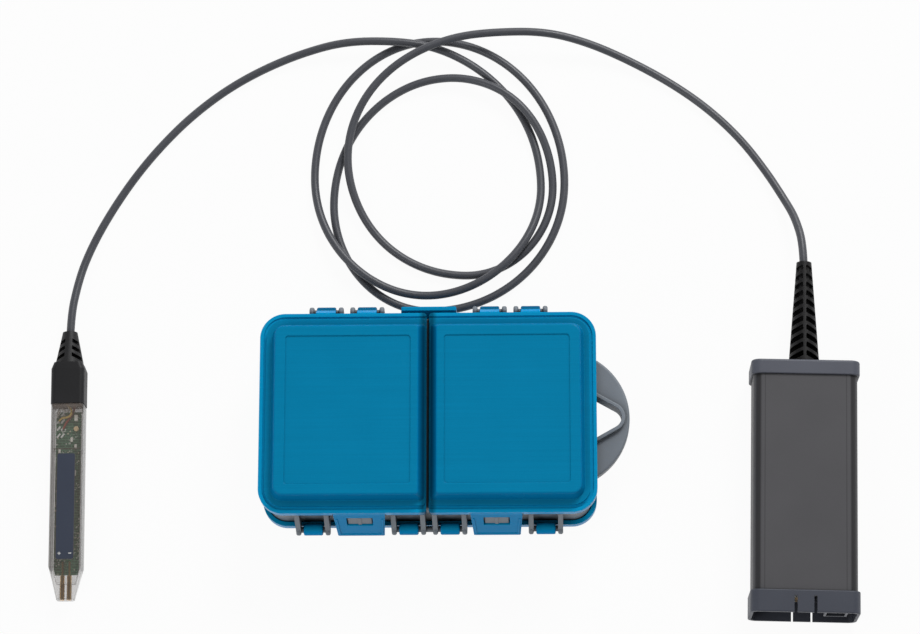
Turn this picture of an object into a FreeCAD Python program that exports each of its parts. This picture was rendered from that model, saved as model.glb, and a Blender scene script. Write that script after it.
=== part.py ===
import FreeCAD, Part
import math
import os

V = FreeCAD.Vector

# A bench probe set: probe head, cable, interface pod and accessory case.
# Sizes are in millimetres. The origin lies on the bench under the middle of the case:
# +X to the right, +Y to the back of the case, +Z up.

# Case: outer shape of the lids
case_length = 121.0
case_depth = 73.4
case_height = 38.0
case_corner = 9.0
lid_height = 9.6
lid_wall = 1.6
lip_width = 1.3
lip_rise = 0.5
ledge_width = 2.4
ledge_drop = 5.9
ledge_skin = 0.7
step_width = 2.05
step_drop = 4.5
dome_lean = 1.3
dome_round = 0.9
least_corner = 1.2
split_gap = 0.9
split_ledge = 0.3
split_step = 0.3
split_lean = 2.3
panel_margin = 3.75
panel_split_margin = 2.6
panel_depth = 0.35

# Case: grey body inside the lids
seat_gap = 0.3
skirt_gap = 0.3
body_wall = 1.8
middle_floor = 1.6
centre_wall = 2.4
divider_wall = 1.4
lower_bays = 3

# Case: hinges, each a rod between two ears of the body and a hook on the lid
hinge_out = 1.8
hinge_drop = 2.0
ear_radius = 2.1
ear_thick = 1.8
ear_round = 0.7
ear_reach = 5.3
ear_rise = 1.0
ear_lean = -35.0
gusset_clear = 0.5
rod_radius = 1.1
rod_clearance = 0.06
hook_width = 7.0
hook_round = 0.6
hook_mouth = 1.8
arm_height = 3.2
arm_foot = 0.3
arm_shoulder = 0.6
root_sink = 0.4
top_hinges = (-37.0, -22.2, 22.2, 37.0)
bottom_hinges = (-42.0, -7.45, 7.45, 42.0)

# Case: latch tabs on pivots in the lids' skirts, and the catches behind their windows
latch_rise = 1.3
latch_head = 0.8
latch_head_gap = 0.3
latch_length = 17.0
latch_thick = 1.44
latch_slope = 0.253
latch_round = 0.6
latch_side_gap = 0.25
pivot_radius = 0.45
pivot_clearance = 0.05
pivot_length = 1.4
pivot_short = 0.2
window_half = 4.7
window_top = 2.8
window_foot = 8.8
catch_margin = 0.25
catch_gap = 0.33
catch_rib_width = 1.4
catch_rib_depth = 0.25
top_latch_place = 24.5
top_latch_root = 18.6
top_latch_tip = 16.8
bottom_latch_root = 21.5
bottom_latch_tip = 20.0

# Case: crescent handle on the right-hand wall
handle_reach = 13.9
handle_radius = 25.5
handle_web = 5.0
grip_depth = 11.0
grip_tip_radius = 4.2
grip_angle = 29.5
collar_width = 1.3
collar_height = 8.6
collar_round = 0.4
web_round = 0.8
tongue_place = 16.0
tongue_width = 8.0
tongue_thick = 3.0
tongue_clearance = 0.1

# Pod: place on the bench and outer shape, its own +Y towards the cable
pod_x = 135.2
pod_y = -25.0
pod_turn = -1.6
pod_length = 92.4
cap_width = 39.2
cap_height = 22.0
cap_corner = 3.4
cap_round = 0.8
cap_edge = 0.4
rear_cap_length = 5.4
rear_wall = 2.0
rear_spigot = 5.0
front_cap_length = 8.1
shroud_wall = 1.2
sleeve_width = 37.5
sleeve_height = 20.4
sleeve_corner = 3.4
sleeve_wall = 1.5
spigot_gap = 0.15
finger_slot = 1.1
finger_slit = 0.7
finger_slot_length = 6.0
finger_slot_spacing = 7.0
key_width = 8.2
key_place = 10.8
key_drop = 6.2
key_thick = 0.8

# Pod: what it holds inside
plate_depth = 20.0
plate_thick = 2.0
boss_radius = 1.9
boss_length = 6.0
boss_edge = 1.65
screw_radius = 0.75
screw_clearance = 0.05
screw_head_radius = 1.6
screw_head_height = 1.1
screw_grip = 5.0
plug_place = -2.0
plug_outer_radius = 6.0
plug_inner_radius = 4.9
plug_length = 12.5
plug_flange_radius = 7.0
plug_flange = 1.2
plug_stem_radius = 4.0
plug_stem = 0.5
plug_ring_radius = 4.05
plug_ring_wall = 0.55
plug_ring_length = 9.0
plug_ring_slot = 0.6
insulator_radius = 2.4
insulator_length = 9.0
insulator_tail = 1.5
plug_pin_radius = 0.68
plug_pin_length = 11.0
plug_pin_tail = 3.0
plug_clearance = 0.05
contact_place = 11.5
contact_pitch = 2.54
contact_columns = 2
contact_rows = 3
contact_radius = 0.5
contact_clearance = 0.06
contact_stand = 2.0
contact_tail = 0.2
contact_edge = 1.05
contact_block_length = 5.0
board_gap = 2.6
board_thick = 1.6
board_level = 7.9
board_side_gap = 0.3
rail_width = 1.2
rail_gap = 0.1
chips = (
    (-6.0, -8.0, 10.0, 10.0, 1.6),
    (8.0, -10.0, 6.0, 8.0, 1.4),
    (-9.0, 10.0, 8.0, 5.0, 1.5),
    (6.0, 9.0, 7.0, 7.0, 1.2),
    (0.0, 24.0, 12.0, 5.0, 4.0),
)

# Pod: tapered strain relief
relief_length = 39.2
relief_root_radius = 5.65
relief_tip_radius = 2.75
relief_neck_radius = 4.2
relief_flange_radius = 5.4
relief_flange = 1.5
relief_clearance = 0.1
relief_rows = 11
relief_pitch = 3.3
relief_slot = 1.8
relief_first = 3.2
relief_slant = 25.0
relief_core_radius = 2.2
relief_spine = 1.1
relief_rail = 1.5

# Probe head: place of its tip on the bench and outer shape, its own +Y towards the cable
head_x = -132.2
head_y = -62.7
head_turn = 0.8
head_tip_width = 6.4
head_tip_height = 5.6
head_taper = 11.8
head_body = 60.5
head_width = 11.9
head_height = 9.6
head_corner = 1.4
head_wall = 1.2
head_end_wall = 6.0
tenon_length = 6.5
tenon_width = 9.2
tenon_height = 7.6
tenon_wall = 1.0
label_width = 6.4
label_length = 39.1
label_start = 14.3
label_thick = 0.5
label_corner = 0.8
label_clearance = 0.05
socket_pitch = 2.54
socket_radius = 0.8
socket_bore_radius = 0.4
socket_length = 9.0
socket_bore_length = 7.5
socket_tail_radius = 0.35
socket_tail = 5.0
socket_clearance = 0.05

# Probe head: board and what sits on it
head_board_start = 9.3
head_board_end = 70.0
head_board_thick = 0.9
head_board_side_gap = 0.1
head_ledge_width = 0.85
solder_gap = 0.05
amplifier_start = 24.0
amplifier_length = 7.0
amplifier_width = 4.0
amplifier_height = 1.3
components = (
    (-3.2, 55.4, 0.8, 1.6, 0.6),
    (2.7, 57.0, 0.8, 1.6, 0.6),
    (1.2, 59.6, 0.8, 1.6, 0.5),
    (-2.7, 50.0, 1.2, 2.0, 0.9),
    (2.4, 47.0, 1.2, 2.0, 0.9),
    (2.8, 67.6, 1.2, 2.2, 1.2),
    (-2.8, 40.0, 0.8, 1.6, 0.6),
    (0.0, 18.0, 0.8, 1.6, 0.6),
)
terminal_x = 2.87
terminal_y = 63.6
terminal_radius = 0.95
terminal_height = 1.0
wire_radius = 0.35
wire_ends = (
    ((-2.6, 62.0), (-1.5, 69.5, 1.5), (-1.1, 0.4)),
    ((-2.4, 57.5), (0.1, 66.5, 2.1), (0.0, 1.0)),
    ((-1.6, 54.5), (1.0, 64.0, 1.3), (1.1, 0.0)),
)

# Probe head: rubber boot
boot_length = 15.6
boot_width = 12.3
boot_height = 10.6
boot_corner = 1.8
boot_shoulder = 2.4
boot_clearance = 0.1
neck_length = 12.2
neck_root_radius = 5.2
neck_tip_radius = 2.7
neck_rows = 3
neck_pitch = 2.75
neck_slot = 1.3
neck_first = 2.9
neck_slant = 25.0
neck_core_radius = 2.1
neck_spine = 2.6
neck_rail = 2.4

# Cable: one round cable in two free stretches and three loose loops
cable_diameter = 3.0
cable_clearance = 0.15
cable_hold = 7.0
lead_out = 6.0
head_lead_points = (
    (-131.6, 56.6, 3.4),
    (-129.2, 65.8, 2.1),
    (-124.8, 76.3, 1.55),
    (-118.8, 87.3, 1.55),
    (-111.2, 99.1, 1.55),
    (-102.2, 110.6, 1.55),
    (-91.4, 122.0, 1.55),
    (-78.3, 132.6, 1.55),
    (-64.4, 140.8, 1.6),
    (-48.7, 147.0, 3.0),
    (-32.4, 150.5, 5.5),
)
pod_lead_points = (
    (42.7, 152.6, 8.6),
    (58.7, 149.2, 5.6),
    (74.7, 142.8, 2.4),
    (90.4, 133.9, 1.55),
    (104.0, 123.7, 1.55),
    (115.9, 111.7, 1.55),
    (125.1, 98.9, 1.55),
    (131.5, 87.6, 2.8),
    (135.4, 78.8, 6.4),
)
# Outermost points of the loops in turn: back, right, front, left, and round again.
loop_extremes = (
    (-13.8, 150.5),
    (41.4, 93.9),
    (-1.7, 50.8),
    (-44.2, 98.5),
    (0.8, 152.0),
    (50.2, 95.3),
    (0.3, 45.2),
    (-36.9, 87.6),
    (6.9, 136.6),
    (45.7, 93.8),
    (12.9, 58.9),
    (-31.7, 105.0),
    (23.9, 152.6),
)
# Height of the cable's middle at each outermost point, and halfway to the next one.
loop_heights = (
    5.5, 1.55, 1.55, 5.3, 3.0, 5.3, 1.55, 1.55, 1.55, 1.55, 1.55, 1.55, 1.55,
    1.55, 1.55, 1.55, 3.3, 5.4, 1.55, 1.55, 1.55, 1.55, 5.3, 8.2, 8.6,
)
gap_step = 1.0
gap_skip = 8.0

# Margin by which a cutting solid runs past the face that it opens
past = 1.0

# Levels and walls of the case
skirt_edge = case_height - lid_height
lid_seat = case_height - ledge_drop - ledge_skin
body_top = lid_seat - seat_gap
body_foot = case_height - body_top
body_half_length = case_length / 2 - lid_wall - skirt_gap
body_half_depth = case_depth / 2 - lid_wall - skirt_gap
body_corner = case_corner - lid_wall - skirt_gap
hinge_y = case_depth / 2 + hinge_out
hinge_z = skirt_edge - hinge_drop
latch_y = -case_depth / 2 + lid_wall / 2
latch_z = skirt_edge + latch_rise
rim_insets = (0.0, ledge_width, ledge_width + step_width, ledge_width + step_width + dome_lean)
split_insets = (0.0, split_ledge, split_ledge + split_step, split_ledge + split_step + split_lean)

# Stations along the pod and its middle height
mouth_y = -pod_length / 2
tail_y = pod_length / 2
sleeve_start = mouth_y + front_cap_length
sleeve_end = tail_y - rear_cap_length
plate_y = mouth_y + plate_depth
plate_back = plate_y + plate_thick
pod_axis = cap_height / 2
bore_width = sleeve_width - 2 * sleeve_wall
bore_height = sleeve_height - 2 * sleeve_wall
bore_corner = sleeve_corner - sleeve_wall
spigot_width = bore_width - 2 * spigot_gap
spigot_height = bore_height - 2 * spigot_gap
board_start = plate_back + board_gap
board_end = sleeve_end - rear_spigot - spigot_gap
board_top = board_level + board_thick

# Stations along the probe head and its middle height
head_axis = boot_height / 2
shell_end = head_taper + head_body
tenon_end = shell_end + tenon_length
boot_end = shell_end + boot_length
neck_end = boot_end + neck_length
head_board_top = head_axis - socket_tail_radius - solder_gap
cable_radius = cable_diameter / 2
cable_bore = cable_radius + cable_clearance


def box(x0, x1, y0, y1, z0, z1):
    return Part.makeBox(x1 - x0, y1 - y0, z1 - z0, V(x0, y0, z0))


def bar_x(y, z, radius, x0, x1):
    return Part.makeCylinder(radius, x1 - x0, V(x0, y, z), V(1, 0, 0))


def bar_y(x, z, radius, y0, y1):
    return Part.makeCylinder(radius, y1 - y0, V(x, y0, z), V(0, 1, 0))


def bar_z(x, y, radius, z0, z1):
    return Part.makeCylinder(radius, z1 - z0, V(x, y, z0), V(0, 0, 1))


def rounded_bar(y, z, radius, x0, x1, edge):
    """A short bar along X with rounded ends."""
    bar = bar_x(y, z, radius, x0, x1)
    return bar.makeFillet(edge, edges_at(bar, 0, x0) + edges_at(bar, 0, x1))


def profile_x(points, x0, x1):
    """An outline of (y, z) points, drawn out along X."""
    corners = [V(x0, y, z) for y, z in points]
    return Part.Face(Part.makePolygon(corners + corners[:1])).extrude(V(x1 - x0, 0, 0))


def profile_y(points, y0, y1):
    """An outline of (x, z) points, drawn out along Y."""
    corners = [V(x, y0, z) for x, z in points]
    return Part.Face(Part.makePolygon(corners + corners[:1])).extrude(V(0, y1 - y0, 0))


def fused(shapes):
    return shapes[0].multiFuse(shapes[1:]).removeSplitter()


def rounded_loop(a0, a1, b0, b1, radius_low, radius_high, to_point):
    """A rectangle with rounded corners, one radius at a0 and one at a1."""
    corners = (
        (a1 - radius_high, b0 + radius_high, radius_high, -90),
        (a1 - radius_high, b1 - radius_high, radius_high, 0),
        (a0 + radius_low, b1 - radius_low, radius_low, 90),
        (a0 + radius_low, b0 + radius_low, radius_low, 180),
    )
    arcs = []
    for a, b, radius, start in corners:
        angles = [math.radians(start + step) for step in (0, 45, 90)]
        points = [to_point(a + radius * math.cos(t), b + radius * math.sin(t)) for t in angles]
        arcs.append(Part.Arc(*points).toShape())
    edges = []
    for arc, following in zip(arcs, arcs[1:] + arcs[:1]):
        edges.append(arc)
        edges.append(Part.makeLine(arc.Vertexes[-1].Point, following.Vertexes[0].Point))
    return Part.Wire(edges)


def plan_loop(x0, x1, y0, y1, radius_low, radius_high, z):
    return rounded_loop(x0, x1, y0, y1, radius_low, radius_high, lambda a, b: V(a, b, z))


def section_loop(width, height, radius, y, axis):
    """A rounded cross-section of a pod or head, centred on its long axis."""
    return rounded_loop(
        -width / 2, width / 2, axis - height / 2, axis + height / 2, radius, radius,
        lambda a, b: V(a, y, b),
    )


def drawn(loop, x, y, z):
    return Part.Face(loop).extrude(V(x, y, z))


def lofted(first, last):
    return Part.makeLoft([first, last], True, True)


def edges_at(shape, axis, level):
    """The edges that lie wholly in one plane square to an axis."""
    found = []
    for edge in shape.Edges:
        low = (edge.BoundBox.XMin, edge.BoundBox.YMin, edge.BoundBox.ZMin)[axis]
        high = (edge.BoundBox.XMax, edge.BoundBox.YMax, edge.BoundBox.ZMax)[axis]
        if abs(low - level) < 0.001 and abs(high - level) < 0.001:
            found.append(edge)
    return found


def flipped(shape):
    """The same feature on the underside: half a turn about the middle of the case, along X."""
    turned = shape.copy()
    turned.rotate(V(0, 0, case_height / 2), V(1, 0, 0), 180)
    return turned


def placed(shape, x, y, turn):
    moved = shape.copy()
    moved.Placement = FreeCAD.Placement(V(x, y, 0), FreeCAD.Rotation(V(0, 0, 1), turn))
    return moved


def on_pod(shape):
    return placed(shape, pod_x, pod_y, pod_turn)


def on_head(shape):
    return placed(shape, head_x, head_y, head_turn)


# Case lids

def lid_loop(ends, level, z, grow=0.0, split_grow=None):
    """The lid's outline at one level; an end of a lid is either its rim or the split between two lids."""
    side = rim_insets[level] + grow
    insets = []
    radii = []
    for x, kind in ends:
        if kind == "rim":
            insets.append(side)
            radii.append(max(case_corner - side, least_corner))
        else:
            insets.append(split_insets[level] + (grow if split_grow is None else split_grow))
            radii.append(least_corner)
    return plan_loop(
        ends[0][0] + insets[0], ends[1][0] - insets[1], -case_depth / 2 + side, case_depth / 2 - side,
        radii[0], radii[1], z,
    )


def wall_loop(ends, wall, z):
    """The inside of a wall along the lid's rim, open where the lid is split."""
    insets = [wall if kind == "rim" else -past for x, kind in ends]
    radii = [case_corner - wall if kind == "rim" else past / 2 for x, kind in ends]
    return plan_loop(
        ends[0][0] + insets[0], ends[1][0] - insets[1], -case_depth / 2 + wall, case_depth / 2 - wall,
        radii[0], radii[1], z,
    )


def lid_shell(ends, panel):
    """A hollow lid: skirt, lip, ledge, step and dome."""
    ledge_z = case_height - ledge_drop
    step_z = case_height - step_drop
    skirt = drawn(lid_loop(ends, 0, skirt_edge), 0, 0, ledge_z + lip_rise - skirt_edge)
    skirt = skirt.cut(drawn(wall_loop(ends, lip_width, ledge_z), 0, 0, lip_rise + past))
    step = drawn(lid_loop(ends, 1, ledge_z), 0, 0, step_z - ledge_z)
    dome = lofted(lid_loop(ends, 2, step_z), lid_loop(ends, 3, case_height))
    dome = dome.makeFillet(dome_round, edges_at(dome, 2, case_height))
    shell = fused([skirt, step, dome])
    skirt_room = wall_loop(ends, lid_wall, skirt_edge - past)
    shell = shell.cut(drawn(skirt_room, 0, 0, lid_seat - skirt_edge + past))
    dome_room = lofted(
        lid_loop(ends, 2, lid_seat, lid_wall), lid_loop(ends, 3, case_height - lid_wall, lid_wall)
    )
    below = drawn(lid_loop(ends, 2, lid_seat - past, lid_wall), 0, 0, past)
    shell = shell.cut(dome_room.fuse(below))
    if panel:
        recess = lid_loop(ends, 3, case_height - panel_depth, panel_margin, panel_split_margin)
        shell = shell.cut(drawn(recess, 0, 0, panel_depth + past))
    return shell


def hook(x):
    """A lid's hook round its hinge rod, with the arm that carries it."""
    skirt_y = case_depth / 2
    arm_y = hinge_y + ear_radius - hook_round
    outline = (
        (skirt_y - root_sink, skirt_edge + arm_foot),
        (skirt_y - root_sink, skirt_edge + arm_height),
        (skirt_y + arm_shoulder, skirt_edge + arm_height),
        (arm_y, hinge_z + arm_shoulder),
        (arm_y, hinge_z),
        (hinge_y, hinge_z),
    )
    x0 = x - hook_width / 2
    x1 = x + hook_width / 2
    arm = profile_x(outline, x0, x1).fuse(rounded_bar(hinge_y, hinge_z, ear_radius, x0, x1, hook_round))
    arm = arm.cut(bar_x(hinge_y, hinge_z, rod_radius + rod_clearance, x0 - past, x1 + past))
    mouth = box(
        x0 - past, x1 + past, hinge_y - ear_radius - past, hinge_y,
        hinge_z - hook_mouth / 2, hinge_z + hook_mouth / 2,
    )
    return arm.cut(mouth)


def latch_seat(x, root):
    """The room of a latch in a lid's skirt: a notch for the tab and bores for its pivot."""
    skirt_y = -case_depth / 2
    half = root / 2 + latch_side_gap
    notch = box(
        x - half, x + half, skirt_y - past, skirt_y + lid_wall + past / 2,
        skirt_edge - past, latch_z + latch_head + latch_head_gap,
    )
    reach = half + pivot_length
    return notch.fuse(bar_x(latch_y, latch_z, pivot_radius + pivot_clearance, x - reach, x + reach))


def lid(ends, hinges, latch, root, panel):
    made = fused([lid_shell(ends, panel)] + [hook(x) for x in hinges])
    return made.cut(latch_seat(latch, root))


def latch_tab(x, root, tip):
    """A sloping tab with a window, on a pivot whose ends turn in the lid's skirt."""
    face_y = -case_depth / 2
    back_y = face_y + latch_thick
    top_z = latch_z + latch_head
    end_z = latch_z - latch_length
    out = latch_slope * latch_length
    slope = profile_x(
        (
            (back_y, top_z), (face_y, top_z), (face_y, latch_z),
            (face_y - out, end_z), (back_y - out, end_z), (back_y, latch_z),
        ),
        x - root, x + root,
    )
    front = profile_y(
        (
            (x - root / 2, top_z), (x - root / 2, latch_z), (x - tip / 2, end_z),
            (x + tip / 2, end_z), (x + root / 2, latch_z), (x + root / 2, top_z),
        ),
        face_y - out - past, back_y + past,
    )
    foot = []
    for edge in front.Edges:
        if edge.BoundBox.ZMax - end_z < 0.001 and edge.BoundBox.YLength > past:
            foot.append(edge)
    plate = front.makeFillet(latch_round, foot).common(slope)
    plate = plate.cut(
        box(
            x - window_half, x + window_half, face_y - out - past, back_y + past,
            latch_z - window_foot, latch_z - window_top,
        )
    )
    reach = root / 2 + latch_side_gap + pivot_length - pivot_short
    return fused([plate, bar_x(latch_y, latch_z, pivot_radius, x - reach, x + reach)])


# Case body and handle

def ear_pair(x):
    """Two ears on the body's back wall with the hinge rod between them."""
    lean = math.radians(ear_lean)
    flat = ear_radius - ear_round
    outline = (
        (body_half_depth - root_sink, hinge_z + ear_rise),
        (hinge_y, hinge_z + ear_rise),
        (hinge_y + flat * math.cos(lean), hinge_z + flat * math.sin(lean)),
        (body_half_depth - root_sink, lid_height + gusset_clear),
    )
    pieces = [bar_x(hinge_y, hinge_z, rod_radius, x - ear_reach, x + ear_reach)]
    for middle in (x - ear_reach, x + ear_reach):
        x0 = middle - ear_thick / 2
        x1 = middle + ear_thick / 2
        pieces.append(profile_x(outline, x0, x1))
        pieces.append(rounded_bar(hinge_y, hinge_z, ear_radius, x0, x1, ear_round))
    return pieces


def catch(x):
    """The catch behind a latch window, with its upright rib."""
    lip_y = -case_depth / 2 - latch_slope * window_foot + latch_thick
    rib_y = lip_y + catch_gap
    face_y = rib_y + catch_rib_depth
    half = window_half - catch_margin
    z0 = latch_z - window_foot + catch_margin
    z1 = latch_z - window_top - catch_margin
    root_y = -body_half_depth + root_sink
    block = box(x - half, x + half, face_y, root_y, z0, z1)
    return [block, box(x - catch_rib_width / 2, x + catch_rib_width / 2, rib_y, root_y, z0, z1)]


def case_body():
    outer = plan_loop(
        -body_half_length, body_half_length, -body_half_depth, body_half_depth,
        body_corner, body_corner, body_foot,
    )
    inner_length = body_half_length - body_wall
    inner_depth = body_half_depth - body_wall
    inner_corner = body_corner - body_wall
    upper_floor = (case_height + middle_floor) / 2
    room = plan_loop(
        -inner_length, inner_length, -inner_depth, inner_depth, inner_corner, inner_corner, upper_floor
    )
    upper = drawn(room, 0, 0, body_top - upper_floor + past)
    body = drawn(outer, 0, 0, body_top - body_foot).cut(upper).cut(flipped(upper))
    walls = [box(-centre_wall / 2, centre_wall / 2, -inner_depth, inner_depth, upper_floor, body_top)]
    walls.append(box(-inner_length, inner_length, -divider_wall / 2, divider_wall / 2, upper_floor, body_top))
    for bay in range(1, lower_bays):
        x = -inner_length + bay * 2 * inner_length / lower_bays
        x0 = x - divider_wall / 2
        walls.append(flipped(box(x0, x0 + divider_wall, -inner_depth, inner_depth, upper_floor, body_top)))
    fittings = []
    for x in top_hinges:
        fittings += ear_pair(x)
    for x in bottom_hinges:
        fittings += [flipped(piece) for piece in ear_pair(x)]
    inner_ear = min(abs(x) for x in bottom_hinges) - ear_reach
    fittings.append(flipped(bar_x(hinge_y, hinge_z, rod_radius, -inner_ear, inner_ear)))
    for x in (-top_latch_place, top_latch_place):
        fittings += catch(x)
    fittings += [flipped(piece) for piece in catch(0.0)]
    body = fused([body] + walls + fittings)
    for tongue in handle_tongues(tongue_clearance):
        body = body.cut(tongue)
    return body


def handle_tongues(grow):
    """Two tongues of the handle that pass through the wall of the body."""
    half_width = tongue_width / 2 + grow
    half_thick = tongue_thick / 2 + grow
    middle = case_height / 2
    tongues = []
    for y in (-tongue_place, tongue_place):
        tongues.append(
            box(
                body_half_length - body_wall, body_half_length, y - half_width, y + half_width,
                middle - half_thick, middle + half_thick,
            )
        )
    return tongues


def grip_gap(grow, height):
    """The finger gap: a wedge with a round tip, open to the wall of the case."""
    wall_x = body_half_length
    angle = math.radians(grip_angle)
    radius = grip_tip_radius + grow
    middle_x = wall_x + grip_depth - grip_tip_radius
    touch_x = middle_x + radius * math.sin(angle)
    touch_y = radius * math.cos(angle)
    base_y = touch_y + (touch_x - wall_x) * math.tan(angle)
    z = (case_height - height) / 2
    tip = Part.Arc(V(touch_x, -touch_y, z), V(middle_x + radius, 0, z), V(touch_x, touch_y, z)).toShape()
    corners = [V(touch_x, touch_y, z), V(wall_x, base_y, z), V(wall_x, -base_y, z), V(touch_x, -touch_y, z)]
    return drawn(Part.Wire([tip] + Part.makePolygon(corners).Edges), 0, 0, height)


def outer_edges(shape, wall_x):
    """The edges round the top and the underside of a flat piece, apart from those at the wall."""
    edges = edges_at(shape, 2, shape.BoundBox.ZMin) + edges_at(shape, 2, shape.BoundBox.ZMax)
    return [edge for edge in edges if edge.BoundBox.XMax - wall_x > 0.001]


def carry_handle():
    wall_x = body_half_length
    middle_x = wall_x + handle_reach - handle_radius
    half = math.sqrt(handle_radius ** 2 - (wall_x - middle_x) ** 2)
    z = (case_height - handle_web) / 2
    bow = Part.Arc(V(wall_x, -half, z), V(wall_x + handle_reach, 0, z), V(wall_x, half, z)).toShape()
    web = drawn(Part.Wire([bow, Part.makeLine(V(wall_x, half, z), V(wall_x, -half, z))]), 0, 0, handle_web)
    web = web.makeFillet(web_round, outer_edges(web, wall_x))
    collar = grip_gap(collar_width, collar_height)
    collar = collar.makeFillet(collar_round, outer_edges(collar, wall_x))
    handle = fused([web, collar] + handle_tongues(0.0))
    return handle.cut(grip_gap(0.0, case_height))


# Pod

def pod_prism(width, height, corner, y0, y1):
    return drawn(section_loop(width, height, corner, y0, pod_axis), 0, y1 - y0, 0)


def pod_sleeve():
    sleeve = pod_prism(sleeve_width, sleeve_height, sleeve_corner, sleeve_start, sleeve_end)
    sleeve = sleeve.cut(
        pod_prism(bore_width, bore_height, bore_corner, sleeve_start - past, sleeve_end + past)
    )
    rails = []
    for side in (-1, 1):
        x0, x1 = sorted((side * (bore_width / 2 - rail_width), side * (bore_width / 2 + sleeve_wall / 2)))
        for z0 in (board_level - rail_gap - rail_width, board_top + rail_gap):
            rails.append(box(x0, x1, board_start, board_end, z0, z0 + rail_width))
    return fused([sleeve] + rails)


def pod_rear_cap():
    cap = pod_prism(cap_width, cap_height, cap_corner, sleeve_end, tail_y)
    cap = cap.makeFillet(cap_round, edges_at(cap, 1, tail_y))
    cap = cap.makeFillet(cap_edge, edges_at(cap, 1, sleeve_end))
    spigot = pod_prism(spigot_width, spigot_height, bore_corner, sleeve_end - rear_spigot, sleeve_end)
    room = pod_prism(
        spigot_width - 2 * shroud_wall, spigot_height - 2 * shroud_wall, bore_corner - shroud_wall,
        sleeve_end - rear_spigot - past, tail_y - rear_wall,
    )
    hole = bar_y(0, pod_axis, relief_neck_radius + relief_clearance, tail_y - rear_wall - past, tail_y + past)
    return fused([cap, spigot]).cut(room).cut(hole)


def screw_places():
    x = spigot_width / 2 - shroud_wall - boss_edge
    z = spigot_height / 2 - shroud_wall - boss_edge
    return [(i * x, pod_axis + j * z) for i in (-1, 1) for j in (-1, 1)]


def pod_front_cap():
    """The open shroud, its slotted snap fingers, its key and the bosses for the plate's screws."""
    cap = pod_prism(cap_width, cap_height, cap_corner, mouth_y, sleeve_start)
    cap = cap.makeFillet(cap_edge, edges_at(cap, 1, mouth_y) + edges_at(cap, 1, sleeve_start))
    spigot = pod_prism(spigot_width, spigot_height, bore_corner, sleeve_start, plate_y)
    outer = fused([cap, spigot])
    mouth_width = cap_width - 2 * shroud_wall
    mouth_height = cap_height - 2 * shroud_wall
    mouth = pod_prism(
        mouth_width, mouth_height, cap_corner - shroud_wall, mouth_y - past, sleeve_start - shroud_wall
    )
    throat = pod_prism(
        spigot_width - 2 * shroud_wall, spigot_height - 2 * shroud_wall, bore_corner - shroud_wall,
        sleeve_start - shroud_wall - past, plate_y + past,
    )
    cap = outer.cut(mouth.fuse(throat))
    bosses = [bar_y(x, z, boss_radius, plate_y - boss_length, plate_y) for x, z in screw_places()]
    bosses = [boss.common(spigot) for boss in bosses]
    roof = pod_axis + mouth_height / 2
    key_end = sleeve_start - shroud_wall
    key_bar = roof - key_drop - key_thick
    left = key_place - key_width / 2
    right = key_place + key_width / 2
    key = [box(left, right, mouth_y, key_end, key_bar, key_bar + key_thick)]
    for x in (left, right - key_thick):
        key.append(box(x, x + key_thick, mouth_y, key_end, key_bar, roof + shroud_wall / 2))
    cap = fused([cap] + bosses + key)
    for x in (-finger_slot_spacing / 2, finger_slot_spacing / 2):
        for width, z0, z1 in ((finger_slot, pod_axis, cap_height + past), (finger_slit, -past, pod_axis)):
            slot = box(x - width / 2, x + width / 2, mouth_y - past, mouth_y + finger_slot_length, z0, z1)
            cap = cap.cut(slot.cut(mouth))
    hole_end = plate_y - screw_grip - screw_clearance
    for x, z in screw_places():
        cap = cap.cut(bar_y(x, z, screw_radius + screw_clearance, hole_end, plate_y + past))
    return cap


def contact_places():
    places = []
    for column in range(contact_columns):
        for row in range(contact_rows):
            x = contact_place + (column - (contact_columns - 1) / 2) * contact_pitch
            z = pod_axis + (row - (contact_rows - 1) / 2) * contact_pitch
            places.append((x, z))
    return places


def contact_bores(shape):
    for x, z in contact_places():
        bore = bar_y(
            x, z, contact_radius + contact_clearance, plate_y - contact_block_length - past, plate_back + past
        )
        shape = shape.cut(bore)
    return shape


def pod_connector_plate():
    plate = pod_prism(spigot_width, spigot_height, bore_corner, plate_y, plate_back)
    stem = plug_stem_radius + plug_clearance
    plate = plate.cut(bar_y(plug_place, pod_axis, stem, plate_y - past, plate_back + past))
    for x, z in screw_places():
        plate = plate.cut(bar_y(x, z, screw_radius + screw_clearance, plate_y - past, plate_back + past))
    return contact_bores(plate)


def pod_screws():
    screws = []
    for x, z in screw_places():
        shank = bar_y(x, z, screw_radius, plate_y - screw_grip, plate_back)
        head = bar_y(x, z, screw_head_radius, plate_back, plate_back + screw_head_height)
        slot = box(
            x - screw_head_radius, x + screw_head_radius, plate_back + screw_head_height / 2,
            plate_back + screw_head_height + past, z - screw_radius / 3, z + screw_radius / 3,
        )
        screws.append(fused([shank, head]).cut(slot))
    return Part.makeCompound(screws)


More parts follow.
